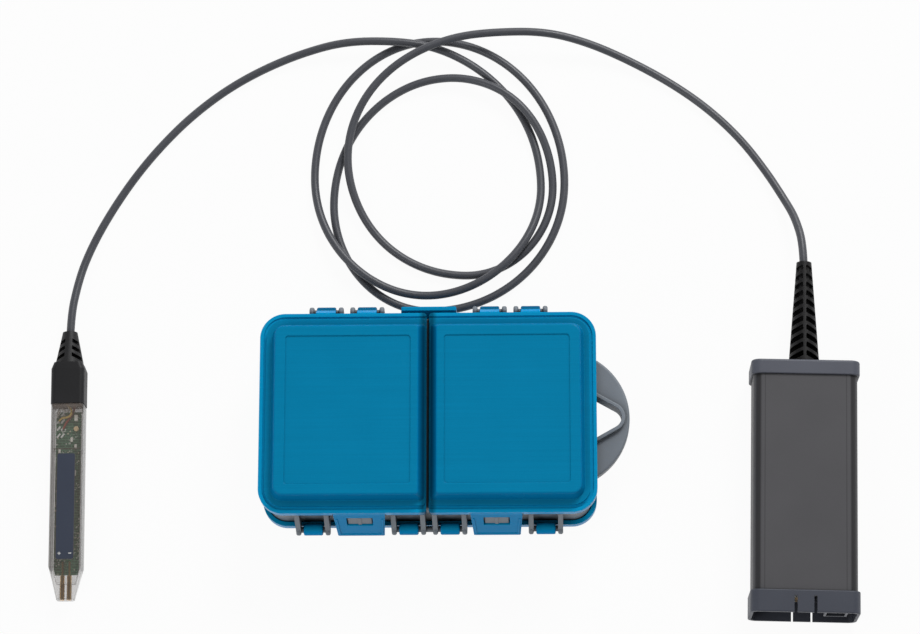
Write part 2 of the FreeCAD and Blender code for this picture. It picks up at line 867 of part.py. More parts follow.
def plug_shell():
    """Turned shell of the coaxial plug: outer sleeve, flange, stem and the slotted inner ring."""
    face = plate_y - plug_flange

    def ring(outer, inner, y0, y1):
        return bar_y(plug_place, pod_axis, outer, y0, y1).cut(
            bar_y(plug_place, pod_axis, inner, y0 - past, y1 + past)
        )

    hole = insulator_radius + plug_clearance
    inner_ring = ring(plug_ring_radius, plug_ring_radius - plug_ring_wall, face - plug_ring_length, face)
    reach = plug_ring_radius + plug_ring_wall / 2
    half_slot = plug_ring_slot / 2
    slot_end = face - plug_ring_wall
    for half_x, half_z in ((reach, half_slot), (half_slot, reach)):
        inner_ring = inner_ring.cut(
            box(
                plug_place - half_x, plug_place + half_x, face - plug_ring_length - past, slot_end,
                pod_axis - half_z, pod_axis + half_z,
            )
        )
    return fused([
        ring(plug_outer_radius, plug_inner_radius, face - plug_length, face),
        ring(plug_flange_radius, hole, face, plate_y),
        ring(plug_stem_radius, hole, plate_y, plate_back + plug_stem),
        inner_ring,
    ])


def plug_insulator():
    face = plate_y - plug_flange
    body = bar_y(plug_place, pod_axis, insulator_radius, face - insulator_length, plate_back + insulator_tail)
    hole = bar_y(
        plug_place, pod_axis, plug_pin_radius + plug_clearance,
        face - insulator_length - past, plate_back + insulator_tail + past,
    )
    return body.cut(hole)


def plug_pin():
    face = plate_y - plug_flange
    nose = plug_pin_radius
    tip = face - plug_pin_length
    shank = bar_y(plug_place, pod_axis, plug_pin_radius, tip + nose, plate_back + plug_pin_tail)
    start = V(plug_place, tip, pod_axis)
    point = Part.makeCone(plug_pin_radius / 3, plug_pin_radius, nose, start, V(0, 1, 0))
    return fused([shank, point])


def contact_block():
    half_x = (contact_columns - 1) * contact_pitch / 2 + contact_edge
    half_z = (contact_rows - 1) * contact_pitch / 2 + contact_edge
    block = box(
        contact_place - half_x, contact_place + half_x, plate_y - contact_block_length, plate_y,
        pod_axis - half_z, pod_axis + half_z,
    )
    return contact_bores(block)


def contact_pins():
    pins = []
    tip = plate_y - contact_block_length - contact_stand
    for x, z in contact_places():
        shank = bar_y(x, z, contact_radius, tip + contact_radius, plate_back + contact_tail)
        ball = Part.makeSphere(contact_radius, V(x, tip + contact_radius, z))
        pins.append(fused([shank, ball]))
    return Part.makeCompound(pins)


def pod_board():
    half = bore_width / 2 - board_side_gap
    return box(-half, half, board_start, board_end, board_level, board_top)


def pod_chips():
    pieces = []
    for x, y, width, length, height in chips:
        pieces.append(
            box(x - width / 2, x + width / 2, y - length / 2, y + length / 2, board_top, board_top + height)
        )
    return Part.makeCompound(pieces)


def slotted_cone(axis, y0, length, radii, rows, core, spine, rail, slant):
    """A cone with rows of slanting windows between its core, its top and bottom spines and its side rails."""
    first, pitch, slot, count = rows
    reach = max(radii) + past
    low = y0 - reach
    high = y0 + length + reach
    kept = box(-spine / 2, spine / 2, low, high, axis - reach, axis + reach)
    kept = kept.fuse(bar_y(0, axis, core, low, high))
    kept = kept.fuse(box(-2 * reach, 2 * reach, low, high, axis - rail / 2, axis + rail / 2))
    cone = Part.makeCone(radii[0], radii[1], length, V(0, y0, axis), V(0, 1, 0))
    for row in range(count):
        y = y0 + first + row * pitch
        for side in (-1, 1):
            x0, x1 = sorted((0.0, side * 2 * reach))
            window = box(x0, x1, y, y + slot, axis - reach, axis + reach)
            window.rotate(V(0, y, axis), V(0, 0, 1), -side * slant)
            cone = cone.cut(window.cut(kept))
    return cone


def pod_strain_relief():
    cone = slotted_cone(
        pod_axis, tail_y, relief_length, (relief_root_radius, relief_tip_radius),
        (relief_first, relief_pitch, relief_slot, relief_rows), relief_core_radius, relief_spine,
        relief_rail, relief_slant,
    )
    inside = tail_y - rear_wall
    neck = bar_y(0, pod_axis, relief_neck_radius, inside, tail_y)
    flange = bar_y(0, pod_axis, relief_flange_radius, inside - relief_flange, inside)
    bore = bar_y(0, pod_axis, cable_bore, inside - relief_flange - past, tail_y + relief_length + past)
    return fused([cone, neck, flange]).cut(bore)


# Probe head

def head_prism(width, height, corner, y0, y1):
    return drawn(section_loop(width, height, corner, y0, head_axis), 0, y1 - y0, 0)


def socket_places():
    return (-socket_pitch / 2, socket_pitch / 2)


def taper_room(y):
    """Half the width inside the casing at a station of its taper."""
    return (head_tip_width + (head_width - head_tip_width) * y / head_taper) / 2 - head_wall


def head_casing():
    """Both halves of the clear casing in one, before they are parted at the middle height."""
    tip = section_loop(head_tip_width, head_tip_height, head_corner, 0, head_axis)
    full = section_loop(head_width, head_height, head_corner, head_taper, head_axis)
    outer = fused([
        lofted(tip, full),
        head_prism(head_width, head_height, head_corner, head_taper, shell_end),
        head_prism(tenon_width, tenon_height, head_corner, shell_end, tenon_end),
    ])
    share = head_end_wall / head_taper
    end_width = 2 * taper_room(head_end_wall)
    end_height = head_tip_height + share * (head_height - head_tip_height) - 2 * head_wall
    inner_corner = head_corner / 2
    room_width = head_width - 2 * head_wall
    room_height = head_height - 2 * head_wall
    room = fused([
        lofted(
            section_loop(end_width, end_height, inner_corner, head_end_wall, head_axis),
            section_loop(room_width, room_height, inner_corner, head_taper, head_axis),
        ),
        head_prism(room_width, room_height, inner_corner, head_taper, shell_end - head_wall),
        head_prism(
            tenon_width - 2 * tenon_wall, tenon_height - 2 * tenon_wall, inner_corner,
            shell_end - head_wall, tenon_end + past,
        ),
    ])
    casing = outer.cut(room)
    hole = socket_radius + socket_clearance
    for x in socket_places():
        casing = casing.cut(bar_y(x, head_axis, hole, -past, head_end_wall + past))
    return casing


def head_shell_top():
    upper = box(-boot_width, boot_width, -past, neck_end, head_axis, boot_height + past)
    shell = head_casing().common(upper)
    return shell.cut(label_plate(label_clearance))


def label_plate(grow):
    half = label_width / 2 + grow
    top = head_axis + head_height / 2
    loop = plan_loop(
        -half, half, label_start - grow, label_start + label_length + grow,
        label_corner, label_corner, top - label_thick,
    )
    return drawn(loop, 0, 0, label_thick)


def head_shell_bottom():
    lower = box(-boot_width, boot_width, -past, neck_end, -past, head_axis)
    shell = head_casing().common(lower)
    half_room = head_width / 2 - head_wall
    floor = head_axis - head_height / 2 + head_wall / 2
    ledges = []
    for side in (-1, 1):
        x0, x1 = sorted((side * (half_room - head_ledge_width), side * (half_room + head_wall / 2)))
        seat = head_board_top - head_board_thick
        ledges.append(box(x0, x1, head_taper, head_board_end, floor, seat))
    return fused([shell] + ledges)


def tip_sockets():
    sockets = []
    for x in socket_places():
        barrel = bar_y(x, head_axis, socket_radius, 0, socket_length)
        tail = bar_y(x, head_axis, socket_tail_radius, socket_length, socket_length + socket_tail)
        bore = bar_y(x, head_axis, socket_bore_radius, -past, socket_bore_length)
        sockets.append(fused([barrel, tail]).cut(bore))
    return Part.makeCompound(sockets)


def head_board():
    """The board, drawn in at its nose as the casing is."""
    half = head_width / 2 - head_wall - head_board_side_gap
    nose = taper_room(head_board_start) - head_board_side_gap
    z = head_board_top - head_board_thick
    corners = [
        V(x, y, z) for x, y in (
            (-nose, head_board_start), (nose, head_board_start), (half, head_taper),
            (half, head_board_end), (-half, head_board_end), (-half, head_taper),
        )
    ]
    return drawn(Part.makePolygon(corners + corners[:1]), 0, 0, head_board_thick)


def head_amplifier():
    half = amplifier_width / 2
    return box(
        -half, half, amplifier_start, amplifier_start + amplifier_length,
        head_board_top, head_board_top + amplifier_height,
    )


def head_components():
    pieces = []
    for x, y, width, length, height in components:
        pieces.append(
            box(
                x - width / 2, x + width / 2, y - length / 2, y + length / 2,
                head_board_top, head_board_top + height,
            )
        )
    return Part.makeCompound(pieces)


def head_terminal():
    post = bar_z(terminal_x, terminal_y, terminal_radius, head_board_top, head_board_top + terminal_height)
    return post.makeFillet(terminal_radius / 4, edges_at(post, 2, head_board_top + terminal_height))


def head_wires():
    wires = []
    foot = head_board_top + wire_radius + solder_gap
    for (x0, y0), (x1, y1, rise), (x2, lift) in wire_ends:
        start = V(x0, y0, foot)
        crest = V(x1, y1, foot + rise)
        end = V(x2, tenon_end - wire_radius, head_axis + lift)
        wires.append(tube([Part.Arc(start, crest, end).toShape()], wire_radius))
    return Part.makeCompound(wires)


def head_boot():
    main_end = boot_end - boot_shoulder
    main = head_prism(boot_width, boot_height, boot_corner, shell_end, main_end)
    neck_width = 2 * neck_root_radius
    shoulder = lofted(
        section_loop(boot_width, boot_height, boot_corner, main_end, head_axis),
        section_loop(neck_width, neck_width, boot_corner, boot_end, head_axis),
    )
    neck = slotted_cone(
        head_axis, boot_end, neck_length, (neck_root_radius, neck_tip_radius),
        (neck_first, neck_pitch, neck_slot, neck_rows), neck_core_radius, neck_spine, neck_rail, neck_slant,
    )
    room = head_prism(
        tenon_width + 2 * boot_clearance, tenon_height + 2 * boot_clearance, head_corner,
        shell_end - past, tenon_end + boot_clearance,
    )
    bore = bar_y(0, head_axis, cable_bore, tenon_end, neck_end + past)
    return fused([main, shoulder, neck]).cut(room).cut(bore)


# Cable

def tube(edges, radius):
    """A round tube along joined edges."""
    path = Part.Wire(edges)
    first = path.Edges[0]
    start = first.valueAt(first.FirstParameter)
    ring = Part.Wire(Part.makeCircle(radius, start, first.tangentAt(first.FirstParameter)))
    return path.makePipeShell([ring], True, False)


def lead_path(points):
    """Straight runs joined by tangent arcs, each as large as its two runs allow."""
    edges = []
    radii = []
    last = points[0]
    for before, corner, after in zip(points, points[1:], points[2:]):
        way_in = (corner - before).normalize()
        way_out = (after - corner).normalize()
        half_turn = way_in.getAngle(way_out) / 2
        trim = 0.45 * min(before.distanceToPoint(corner), corner.distanceToPoint(after))
        radius = trim / math.tan(half_turn)
        inwards = (way_out - way_in).normalize()
        start = corner - way_in * trim
        middle = corner + inwards * radius * (1 / math.cos(half_turn) - 1)
        end = corner + way_out * trim
        edges.append(Part.makeLine(last, start))
        edges.append(Part.Arc(start, middle, end).toShape())
        radii.append(radius)
        last = end
    edges.append(Part.makeLine(last, points[-1]))
    print("bend radii", [round(radius) for radius in radii])
    return edges


def biarc(start, start_way, end, end_way):
    """Two arcs that leave one point and reach another, each along its own direction."""
    chord = end - start
    sum_way = start_way + end_way
    spread = 2 * (1 - start_way.dot(end_way))
    along = chord.dot(sum_way)
    reach = (-along + math.sqrt(along ** 2 + spread * chord.dot(chord))) / spread
    knee = start + start_way * reach
    far_knee = end - end_way * reach
    meet = (knee + far_knee) * 0.5
    arcs = []
    for first, corner, last in ((start, knee, meet), (meet, far_knee, end)):
        weight = first.distanceToPoint(last) / (2 * reach)
        middle = (first + corner * (2 * weight) + last) * (0.5 / (1 + weight))
        arcs.append(Part.Arc(first, middle, last).toShape())
    return arcs


def loop_stations():
    """Points and directions every eighth of a turn, on quarter ellipses between the outermost points."""
    stations = []
    for index, (x0, y0) in enumerate(loop_extremes[:-1]):
        x1, y1 = loop_extremes[index + 1]
        leaves_sideways = index % 2 == 0
        middle_x, middle_y = (x0, y1) if leaves_sideways else (x1, y0)
        for half in (0, 1):
            turn = math.radians(45 * half)
            far = V(x1 - middle_x, y1 - middle_y, 0)
            near = V(x0 - middle_x, y0 - middle_y, 0)
            point = V(middle_x, middle_y, loop_heights[2 * index + half])
            point = point + near * math.cos(turn) + far * math.sin(turn)
            way = far * math.cos(turn) - near * math.sin(turn)
            stations.append((point, way.normalize()))
    x, y = loop_extremes[-1]
    stations.append((V(x, y, loop_heights[-1]), V(1, 0, 0)))
    return stations


def coil_path():
    """The loops, with a straight end of one diameter at each side."""
    stations = loop_stations()
    first = stations[0][0]
    last = stations[-1][0]
    straight = V(cable_diameter, 0, 0)
    edges = [Part.makeLine(first - straight, first)]
    for (start, start_way), (end, end_way) in zip(stations, stations[1:]):
        edges += biarc(start, start_way, end, end_way)
    edges.append(Part.makeLine(last, last + straight))
    return edges


def exit_points(place, y, z):
    """Where the cable starts inside a boot or relief, and the first point of its route outside."""
    return [place.multVec(V(0, y - cable_hold, z)), place.multVec(V(0, y + lead_out, z))]


def cable_paths():
    head_frame = FreeCAD.Placement(V(head_x, head_y, 0), FreeCAD.Rotation(V(0, 0, 1), head_turn))
    pod_frame = FreeCAD.Placement(V(pod_x, pod_y, 0), FreeCAD.Rotation(V(0, 0, 1), pod_turn))
    coil = coil_path()
    head_route = exit_points(head_frame, neck_end, head_axis)
    head_route += [V(*point) for point in head_lead_points]
    head_route.append(coil[0].Vertexes[0].Point)
    pod_route = [coil[-1].Vertexes[-1].Point]
    pod_route += [V(*point) for point in pod_lead_points]
    pod_route += reversed(exit_points(pod_frame, tail_y + relief_length, pod_axis))
    return lead_path(head_route), coil, lead_path(pod_route)


def least_gap(points):
    """The least free space between stretches of the cable that aren't next to each other."""
    skip = int(gap_skip * cable_diameter / gap_step)
    least = math.inf
    for index, point in enumerate(points):
        for other in points[index + skip:]:
            least = min(least, point.distanceToPoint(other))
    return least - cable_diameter


def cable():
    paths = cable_paths()
    tubes = []
    points = []
    total = 0.0
    for edges in paths:
        path = Part.Wire(edges)
        solid = tube(edges, cable_radius)
        share = solid.Volume / (math.pi * cable_radius ** 2 * path.Length)
        print("cable length", round(path.Length, 1), "volume share", round(share, 4))
        points += path.discretize(Distance=gap_step)
        total += path.Length
        tubes.append(solid)
    print("whole cable", round(total, 1), "least gap to itself", round(least_gap(points), 2))
    return tubes


def build():
    half = case_length / 2
    left_ends = ((-half, "rim"), (-split_gap / 2, "split"))
    right_ends = ((split_gap / 2, "split"), (half, "rim"))
    whole_ends = ((-half, "rim"), (half, "rim"))
    left_hinges = [x for x in top_hinges if x < 0]
    right_hinges = [x for x in top_hinges if x > 0]
    head_lead, coil, pod_lead = cable()
    nodes = {
        "case_body": case_body(),
        "carry_handle": carry_handle(),
        "left_lid": lid(left_ends, left_hinges, -top_latch_place, top_latch_root, True),
        "right_lid": lid(right_ends, right_hinges, top_latch_place, top_latch_root, True),
        "bottom_lid": flipped(lid(whole_ends, bottom_hinges, 0.0, bottom_latch_root, False)),
        "left_latch": latch_tab(-top_latch_place, top_latch_root, top_latch_tip),
        "right_latch": latch_tab(top_latch_place, top_latch_root, top_latch_tip),
        "bottom_latch": flipped(latch_tab(0.0, bottom_latch_root, bottom_latch_tip)),
        "cable_head_lead": head_lead,
        "cable_coil": coil,
        "cable_pod_lead": pod_lead,
    }
    for make in (
        pod_sleeve, pod_rear_cap, pod_front_cap, pod_connector_plate, pod_screws, plug_shell, plug_insulator,
        plug_pin, contact_block, contact_pins, pod_board, pod_chips, pod_strain_relief,
    ):
        nodes[make.__name__] = on_pod(make())
    for make in (
        head_shell_top, head_shell_bottom, tip_sockets, head_board, head_amplifier, head_components,
        head_terminal, head_wires, head_boot,
    ):
        nodes[make.__name__] = on_head(make())
    nodes["head_label"] = on_head(label_plate(0.0))
    return nodes


os.makedirs("parts", exist_ok=True)
for name, shape in build().items():
    if not shape.isValid():
        raise ValueError(name + " is not a valid solid")
    print(name, "solids", len(shape.Solids), "volume", round(shape.Volume, 2))
    shape.exportStep(os.path.join("parts", name + ".step"))
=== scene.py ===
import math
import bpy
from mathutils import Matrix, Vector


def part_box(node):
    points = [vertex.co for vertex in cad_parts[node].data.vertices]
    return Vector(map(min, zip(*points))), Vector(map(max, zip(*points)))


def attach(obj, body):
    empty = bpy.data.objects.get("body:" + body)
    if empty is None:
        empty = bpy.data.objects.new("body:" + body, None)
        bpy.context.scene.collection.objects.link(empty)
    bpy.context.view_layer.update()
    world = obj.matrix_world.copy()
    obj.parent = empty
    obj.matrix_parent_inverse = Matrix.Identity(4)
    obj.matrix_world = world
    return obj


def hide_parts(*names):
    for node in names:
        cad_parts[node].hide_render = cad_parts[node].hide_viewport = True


bl_info = {
    "name": "Bench Probe Set",
    "version": (1, 1, 0),
    "blender": (4, 5, 0),
    "location": "3D View > Sidebar > Probe Set",
    "description": "Finishes and fine details of a bench probe set with its accessory case",
    "category": "Object",
}

import bmesh
import bpy
from bpy.props import FloatProperty, FloatVectorProperty, PointerProperty
from mathutils import Matrix, Vector

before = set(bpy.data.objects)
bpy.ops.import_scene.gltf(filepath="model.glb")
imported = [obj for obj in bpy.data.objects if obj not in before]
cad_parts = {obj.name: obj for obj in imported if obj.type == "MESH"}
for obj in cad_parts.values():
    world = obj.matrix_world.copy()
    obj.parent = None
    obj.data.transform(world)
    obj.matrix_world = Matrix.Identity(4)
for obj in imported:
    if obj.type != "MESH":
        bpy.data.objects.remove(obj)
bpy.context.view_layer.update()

MM = 0.001

# Place, turn and axis height of the probe head's tip and of the pod's middle, in millimetres and degrees
HEAD_TIP = (-132.2, -62.7)
HEAD_TURN = 0.8
HEAD_AXIS = 5.3
POD_MIDDLE = (135.2, -25.0)
POD_TURN = -1.6
POD_AXIS = 11.0

# Cable's ends: where it leaves the head's boot and the pod's relief, its hold inside and its straight lead
NECK_END = 100.1
RELIEF_END = 85.4
CABLE_HOLD = 7.0
LEAD_OUT = 6.0

# Cable route in millimetres: from the head's boot, round the loops and to the pod's relief
HEAD_LEAD = (
    (-131.6, 56.6, 3.4),
    (-129.2, 65.8, 2.1),
    (-124.8, 76.3, 1.55),
    (-118.8, 87.3, 1.55),
    (-111.2, 99.1, 1.55),
    (-102.2, 110.6, 1.55),
    (-91.4, 122.0, 1.55),
    (-78.3, 132.6, 1.55),
    (-64.4, 140.8, 1.6),
    (-48.7, 147.0, 3.0),
    (-32.4, 150.5, 5.5),
)
POD_LEAD = (
    (42.7, 152.6, 8.6),
    (58.7, 149.2, 5.6),
    (74.7, 142.8, 2.4),
    (90.4, 133.9, 1.55),
    (104.0, 123.7, 1.55),
    (115.9, 111.7, 1.55),
    (125.1, 98.9, 1.55),
    (131.5, 87.6, 2.8),
    (135.4, 78.8, 6.4),
)
# Outermost points of the loops in turn: back, right, front, left, and round again
LOOP_EXTREMES = (
    (-13.8, 150.5),
    (41.4, 93.9),
    (-1.7, 50.8),
    (-44.2, 98.5),
    (0.8, 152.0),
    (50.2, 95.3),
    (0.3, 45.2),
    (-36.9, 87.6),
    (6.9, 136.6),
    (45.7, 93.8),
    (12.9, 58.9),
    (-31.7, 105.0),
    (23.9, 152.6),
)
# Height of the cable's middle at each outermost point, and halfway to the next one
LOOP_HEIGHTS = (
    5.5, 1.55, 1.55, 5.3, 3.0, 5.3, 1.55, 1.55, 1.55, 1.55, 1.55, 1.55, 1.55,
    1.55, 1.55, 1.55, 3.3, 5.4, 1.55, 1.55, 1.55, 1.55, 5.3, 8.2, 8.6,
)
POINTS_PER_QUARTER = 6

# Wires from the cable to the head's board, each a colour and points in the head's own frame
WIRES = {
    "wire_yellow": ((0.8, 0.55, 0.14), (
        (-3.5, 66.6, 5.3), (-2.4, 67.8, 6.0), (-0.6, 67.4, 6.9), (1.3, 68.4, 7.2), (1.2, 71.0, 7.0),
        (-0.8, 72.4, 6.4), (-1.1, 75.0, 5.8), (-1.1, 78.2, 5.7),
    )),
    "wire_white": ((0.75, 0.73, 0.68), (
        (-4.2, 68.0, 5.3), (-3.9, 70.2, 6.0), (-2.5, 71.2, 6.5), (-0.4, 69.4, 6.5), (0.4, 71.2, 6.3),
        (0.1, 74.8, 6.3), (0.0, 78.2, 6.3),
    )),
    "wire_red": ((0.3, 0.05, 0.03), (
        (-1.9, 63.6, 5.3), (-1.2, 65.4, 5.7), (0.6, 67.6, 6.0), (2.1, 70.2, 6.0), (2.2, 72.6, 5.8),
        (1.3, 75.4, 5.4), (1.1, 78.2, 5.3),
    )),
}
WIRE_RADIUS = 0.4

# Bright solder dashes on the head's board, in its own frame
BOARD_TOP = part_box("head_board")[1][2] / MM
DASH_COLUMNS = (-3.7, -2.2)
DASH_ROWS = (61.2, 63.9, 66.6, 69.3)
DASH_SIZE = (0.6, 1.9, 0.16)
DASH_LEAN = -38.0
DASH_SINK = 0.02

# Plus and minus on the label
LABEL_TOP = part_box("head_label")[1][2] / MM
MARK_PLACE = (1.95, 16.4)
MARK_LENGTH = 1.1
MARK_WIDTH = 0.26
MARK_THICK = 0.03

# Latch tabs: place along the case, turn about it, width at the root and at the tip; then what they share
LATCHES = {
    "left_latch": (-24.5, 0.0, 18.6, 16.8),
    "right_latch": (24.5, 0.0, 18.6, 16.8),
    "bottom_latch": (0.0, 180.0, 21.5, 20.0),
}
LATCH_LENGTH = 17.0
LATCH_SLOPE = 0.253
LATCH_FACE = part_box("left_lid")[0][1] / MM
LATCH_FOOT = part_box("left_latch")[0][2] / MM
HEM_INSET = 0.9
HEM_WIDTH = 0.7
HEM_THICK = 0.5
HEM_TALL = 12.5

# Catch pads in the latch windows, with the tabs' slope
CATCH_FRONT = -37.8
CATCH_BACK = 1.8
CATCH_HEIGHT = 23.9
CATCH_TALL = 5.4
CATCH_PAD = (8.9, 1.8)
CATCH_RIB = (1.4, 2.05)

# How much of its least side a small block's edges are rounded by
SOFT_EDGE = 0.25

# Sides of the cords: rounding steps of the section, and steps from one point of the route to the next
CABLE_SIDES = 6
WIRE_SIDES = 3
ROUTE_STEPS = 8

# Finishes, each by the values of the moulded skin, lengths in metres; Edge Lift paints highlight and wear on
# edges, Crevice paints shade in crevices
FINISH_VALUES = (
    "Drift", "Roughness", "Gloss Spread", "Grain Scale", "Grain Depth",
    "Edge Radius", "Edge Lift", "Crevice", "Crevice Reach",
)
FINISHES = {
    "lid": (0.04, 0.26, 0.08, 1800.0, 0.03, 0.0004, 0.4, 0.4, 0.005),
    "body": (0.08, 0.5, 0.1, 3500.0, 0.12, 0.0003, 0.2, 1.0, 0.005),
    "jacket": (0.12, 0.42, 0.15, 2500.0, 0.12, 0.0001, 0.0, 0.4, 0.003),
    "sleeve": (0.06, 0.5, 0.1, 4000.0, 0.2, 0.0003, 0.1, 0.6, 0.005),
    "cap": (0.08, 0.5, 0.1, 3000.0, 0.15, 0.0003, 0.3, 1.0, 0.015),
    "rubber": (0.15, 0.5, 0.15, 3000.0, 0.15, 0.0002, 0.3, 0.8, 0.003),
    "clear": (0.06, 0.12, 0.08, 900.0, 0.03, 0.0005, 0.0, 0.0, 0.001),
    "mask": (0.15, 0.4, 0.1, 900.0, 0.05, 0.0001, 0.1, 0.0, 0.001),
    "film": (0.08, 0.4, 0.1, 3000.0, 0.05, 0.0001, 0.1, 0.0, 0.001),
    "epoxy": (0.12, 0.45, 0.1, 3000.0, 0.1, 0.0001, 0.3, 0.4, 0.002),
    "ceramic": (0.1, 0.45, 0.1, 2500.0, 0.06, 0.0001, 0.2, 0.0, 0.001),
    "plating": (0.06, 0.28, 0.1, 2500.0, 0.04, 0.0001, 0.1, 0.2, 0.002),
}

# What all moulded skins share: the cloud in the colour, the grain with its height in metres, and the edges
# and crevices where highlight and shade are painted
CLOUD_SCALE = 55.0
CLOUD_DETAIL = 4.0
CLOUD_RANGE = (0.6, 1.4)
GRAIN_DETAIL = 3.0
GRAIN_HEIGHT = 0.0002
EDGE_RANGE = (0.99, 0.85)
EDGE_SAMPLES = 6
CREVICE_SAMPLES = 8

# Lid plastic: streaks along the case, and the upright share of a face that counts as flat or as steep for the
# painted shade of steep walls
STREAK_STRETCH = (22.0, 2200.0, 40.0)
STREAK_DETAIL = 3.0
STREAK_ROUGHNESS = 0.6
STREAK_RANGE = (0.3, 0.7)
STREAK = 0.04
FLAT_FACE = 0.97
STEEP_FACE = 0.8
LID_GLOSS = 0.05
LID_IOR = 1.49

# Hooks, rims and domes of the lids, by their distance from the case's middle height, and how much painted
# light lifts the rims and hooks
CASE_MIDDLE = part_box("left_lid")[1][2] / MM / 2
HOOK_REACH = 9.8
RIM_START = 10.4
RIM_REACH = 13.2
DOME_FOOT = 14.2
RIM_PAINTED_LIGHT = 1.65
BACK_HOOK_PAINTED_LIGHT = 0.62
FRONT_HOOK_PAINTED_LIGHT = 1.35

# Painted shade on the walls along the split between the upper lids, and painted dark blue shade on the body
# in the slit under it
SPLIT_WIDTH = 3.4
SPLIT_SHADE = 0.62
SLIT_WIDTH = 1.6
SLIT_SHADE = 0.95
SLIT_BLUE = (0.0005, 0.012, 0.035)
SLIT_FOOT = 24.0
SLIT_REACH = 34.3

# Seams of the pod's sleeve and the painted shade of its shoulders, from the middle of its top
SEAM_PLACE = 14.6
SEAM_WIDTH = 0.24
SEAM_SHADE = 0.28
SHOULDER_PLACE = 17.0
SHOULDER_WIDTH = 1.2
SHOULDER_SHADE = 0.6
SATIN_GLOSS = 0.3

# Circuit boards: traces, vias, and fine print that lies in patches, each with its strength and colour
TRACE_PATTERN = {"Scale": 300.0, "Mortar Size": 0.045, "Brick Width": 0.7, "Row Height": 0.3}
TRACE_MARK = (0.6, (0.1, 0.28, 0.16, 1.0))
VIA_SCALE = 520.0
VIA_SIZE = 0.18
VIA_MARK = (0.8, (0.5, 0.46, 0.36, 1.0))
PRINT_SCALE = 1400.0
PRINT_SIZE = 0.33
PRINT_MARK = (0.85, (0.62, 0.62, 0.58, 1.0))
PATCH_SCALE = 260.0
PATCH_DETAIL = 1.0
PATCH_START = 0.58

# Clear casing in the head's own frame: where it hides more, or less, than its plain veil, with painted dark
# outlines at the sides, a step and the edges
CASING_IOR = 1.5
EDGE_VEIL = 0.5
OUTLINE_START = 5.5
OUTLINE_FULL = 5.75
OUTLINE_SHADE = 0.7
OUTLINE_VEIL = 0.55
STEP_PLACE = 55.3
STEP_WIDTH = 0.35
STEP_SHADE = 0.7
GAP_PLACE = 4.75
GAP_WIDTH = 0.45
GAP_SHARE = 0.15
WALL_START = 4.9
WALL_FULL = 5.2
WALL_VEIL = 0.15
END_START = 70.2
END_FULL = 71.2
END_VEIL = 0.3

# The head's terminal is dull brass, so little of it shines as metal
DULL_METAL = 0.2

# Lamps and floor in metres
KEY_PLACE = (0.45, 1.0, 0.95)
KEY_SIZE = 0.6
FILL_PLACE = (-0.8, -0.7, 0.9)
FILL_SIZE = 0.8
FLOOR_HALF = 3.0
FLOOR_DROP = 0.0002
FLOOR_GREY = (0.6, 0.6, 0.6, 1.0)
WHITE = (1.0, 1.0, 1.0, 1.0)

# Light from all round: shares at the horizon and overhead, and for gloss the white that fades with height
HORIZON_LIGHT = 0.3
OVERHEAD_LIGHT = 1.3
GLOSS_FADE = (0.05, 0.6)
GLOSS_OVERHEAD = 0.05


def placed(origin, turn, point):
    """A point of a turned frame of its own, in metres on the bench."""
    turned = Matrix.Rotation(math.radians(turn), 3, "Z") @ Vector(point)
    return (turned + Vector((*origin, 0.0))) * MM


def head_point(*point):
    """A point of the head's own frame, in metres on the bench."""
    return placed(HEAD_TIP, HEAD_TURN, point)


def pod_point(*point):
    """A point of the pod's own frame, in metres on the bench."""
    return placed(POD_MIDDLE, POD_TURN, point)


def colour_setting(name, description, default):
    """A colour that a user may change."""
    return FloatVectorProperty(
        name=name, description=description, subtype="COLOR", size=3, min=0.0, max=1.0, default=default
    )


class CaseLook(bpy.types.PropertyGroup):
    lid_blue: colour_setting("Lid Blue", "Tint of the lids and latches", (0.001, 0.19, 0.365))
    # The steep walls' blue is painted shading, not a second tint
    lid_steep_shade: colour_setting("Lid Deep", "Tint of the lids' and latches' steep walls", (0.0005, 0.19, 0.42))
    body_grey: colour_setting("Body Grey", "Colour of the body and the handle", (0.185, 0.21, 0.24))


class CableLook(bpy.types.PropertyGroup):
    diameter: FloatProperty(
        name="Diameter", description="Outside diameter of the cable", default=0.003, unit="LENGTH"
    )
    jacket_grey: colour_setting("Jacket Grey", "Colour of the cable's jacket", (0.066, 0.069, 0.08))


class PodLook(bpy.types.PropertyGroup):
    sleeve_grey: colour_setting("Sleeve Grey", "Colour of the pod's sleeve", (0.078, 0.077, 0.083))
    cap_slate: colour_setting("Cap Slate", "Colour of the pod's rear cap", (0.078, 0.084, 0.108))
    front_slate: colour_setting("Front Slate", "Colour of the front cap and its plate", (0.05, 0.056, 0.076))
    relief_black: colour_setting("Relief Black", "Colour of the bend relief", (0.007, 0.0068, 0.0074))
    nickel: colour_setting("Nickel", "Colour of the plug's plating and the screws", (0.62, 0.6, 0.56))
    gold: colour_setting("Gold", "Colour of the contacts and sockets", (0.75, 0.48, 0.19))
    insulator: colour_setting("Insulator", "Colour of the plug's insulator", (0.78, 0.77, 0.72))


class HeadLook(bpy.types.PropertyGroup):
    casing_tint: colour_setting("Casing Tint", "Smoky tint of the clear casing", (0.215, 0.185, 0.165))
    casing_veil: FloatProperty(
        name="Casing Veil", description="How much each face of the casing hides", default=0.2,
        min=0.0, max=1.0, subtype="FACTOR",
    )
    board_green: colour_setting("Board Green", "Colour of the circuit boards", (0.012, 0.09, 0.05))
    chip_black: colour_setting("Chip Black", "Colour of the chips and contact block", (0.018, 0.018, 0.02))
    terminal_brass: colour_setting("Terminal Brass", "Colour of the round terminal", (0.9, 0.68, 0.4))
    chip_pale: colour_setting("Chip Pale", "Colour of the small ceramic parts", (0.82, 0.79, 0.72))
    label_navy: colour_setting("Label Navy", "Colour of the label", (0.04, 0.05, 0.078))
    print_white: colour_setting(
        "Print White", "Colour of the label's marks and the solder dashes", (0.8, 0.8, 0.78)
    )
    boot_black: colour_setting("Boot Black", "Colour of the head's rubber boot", (0.016, 0.016, 0.0175))


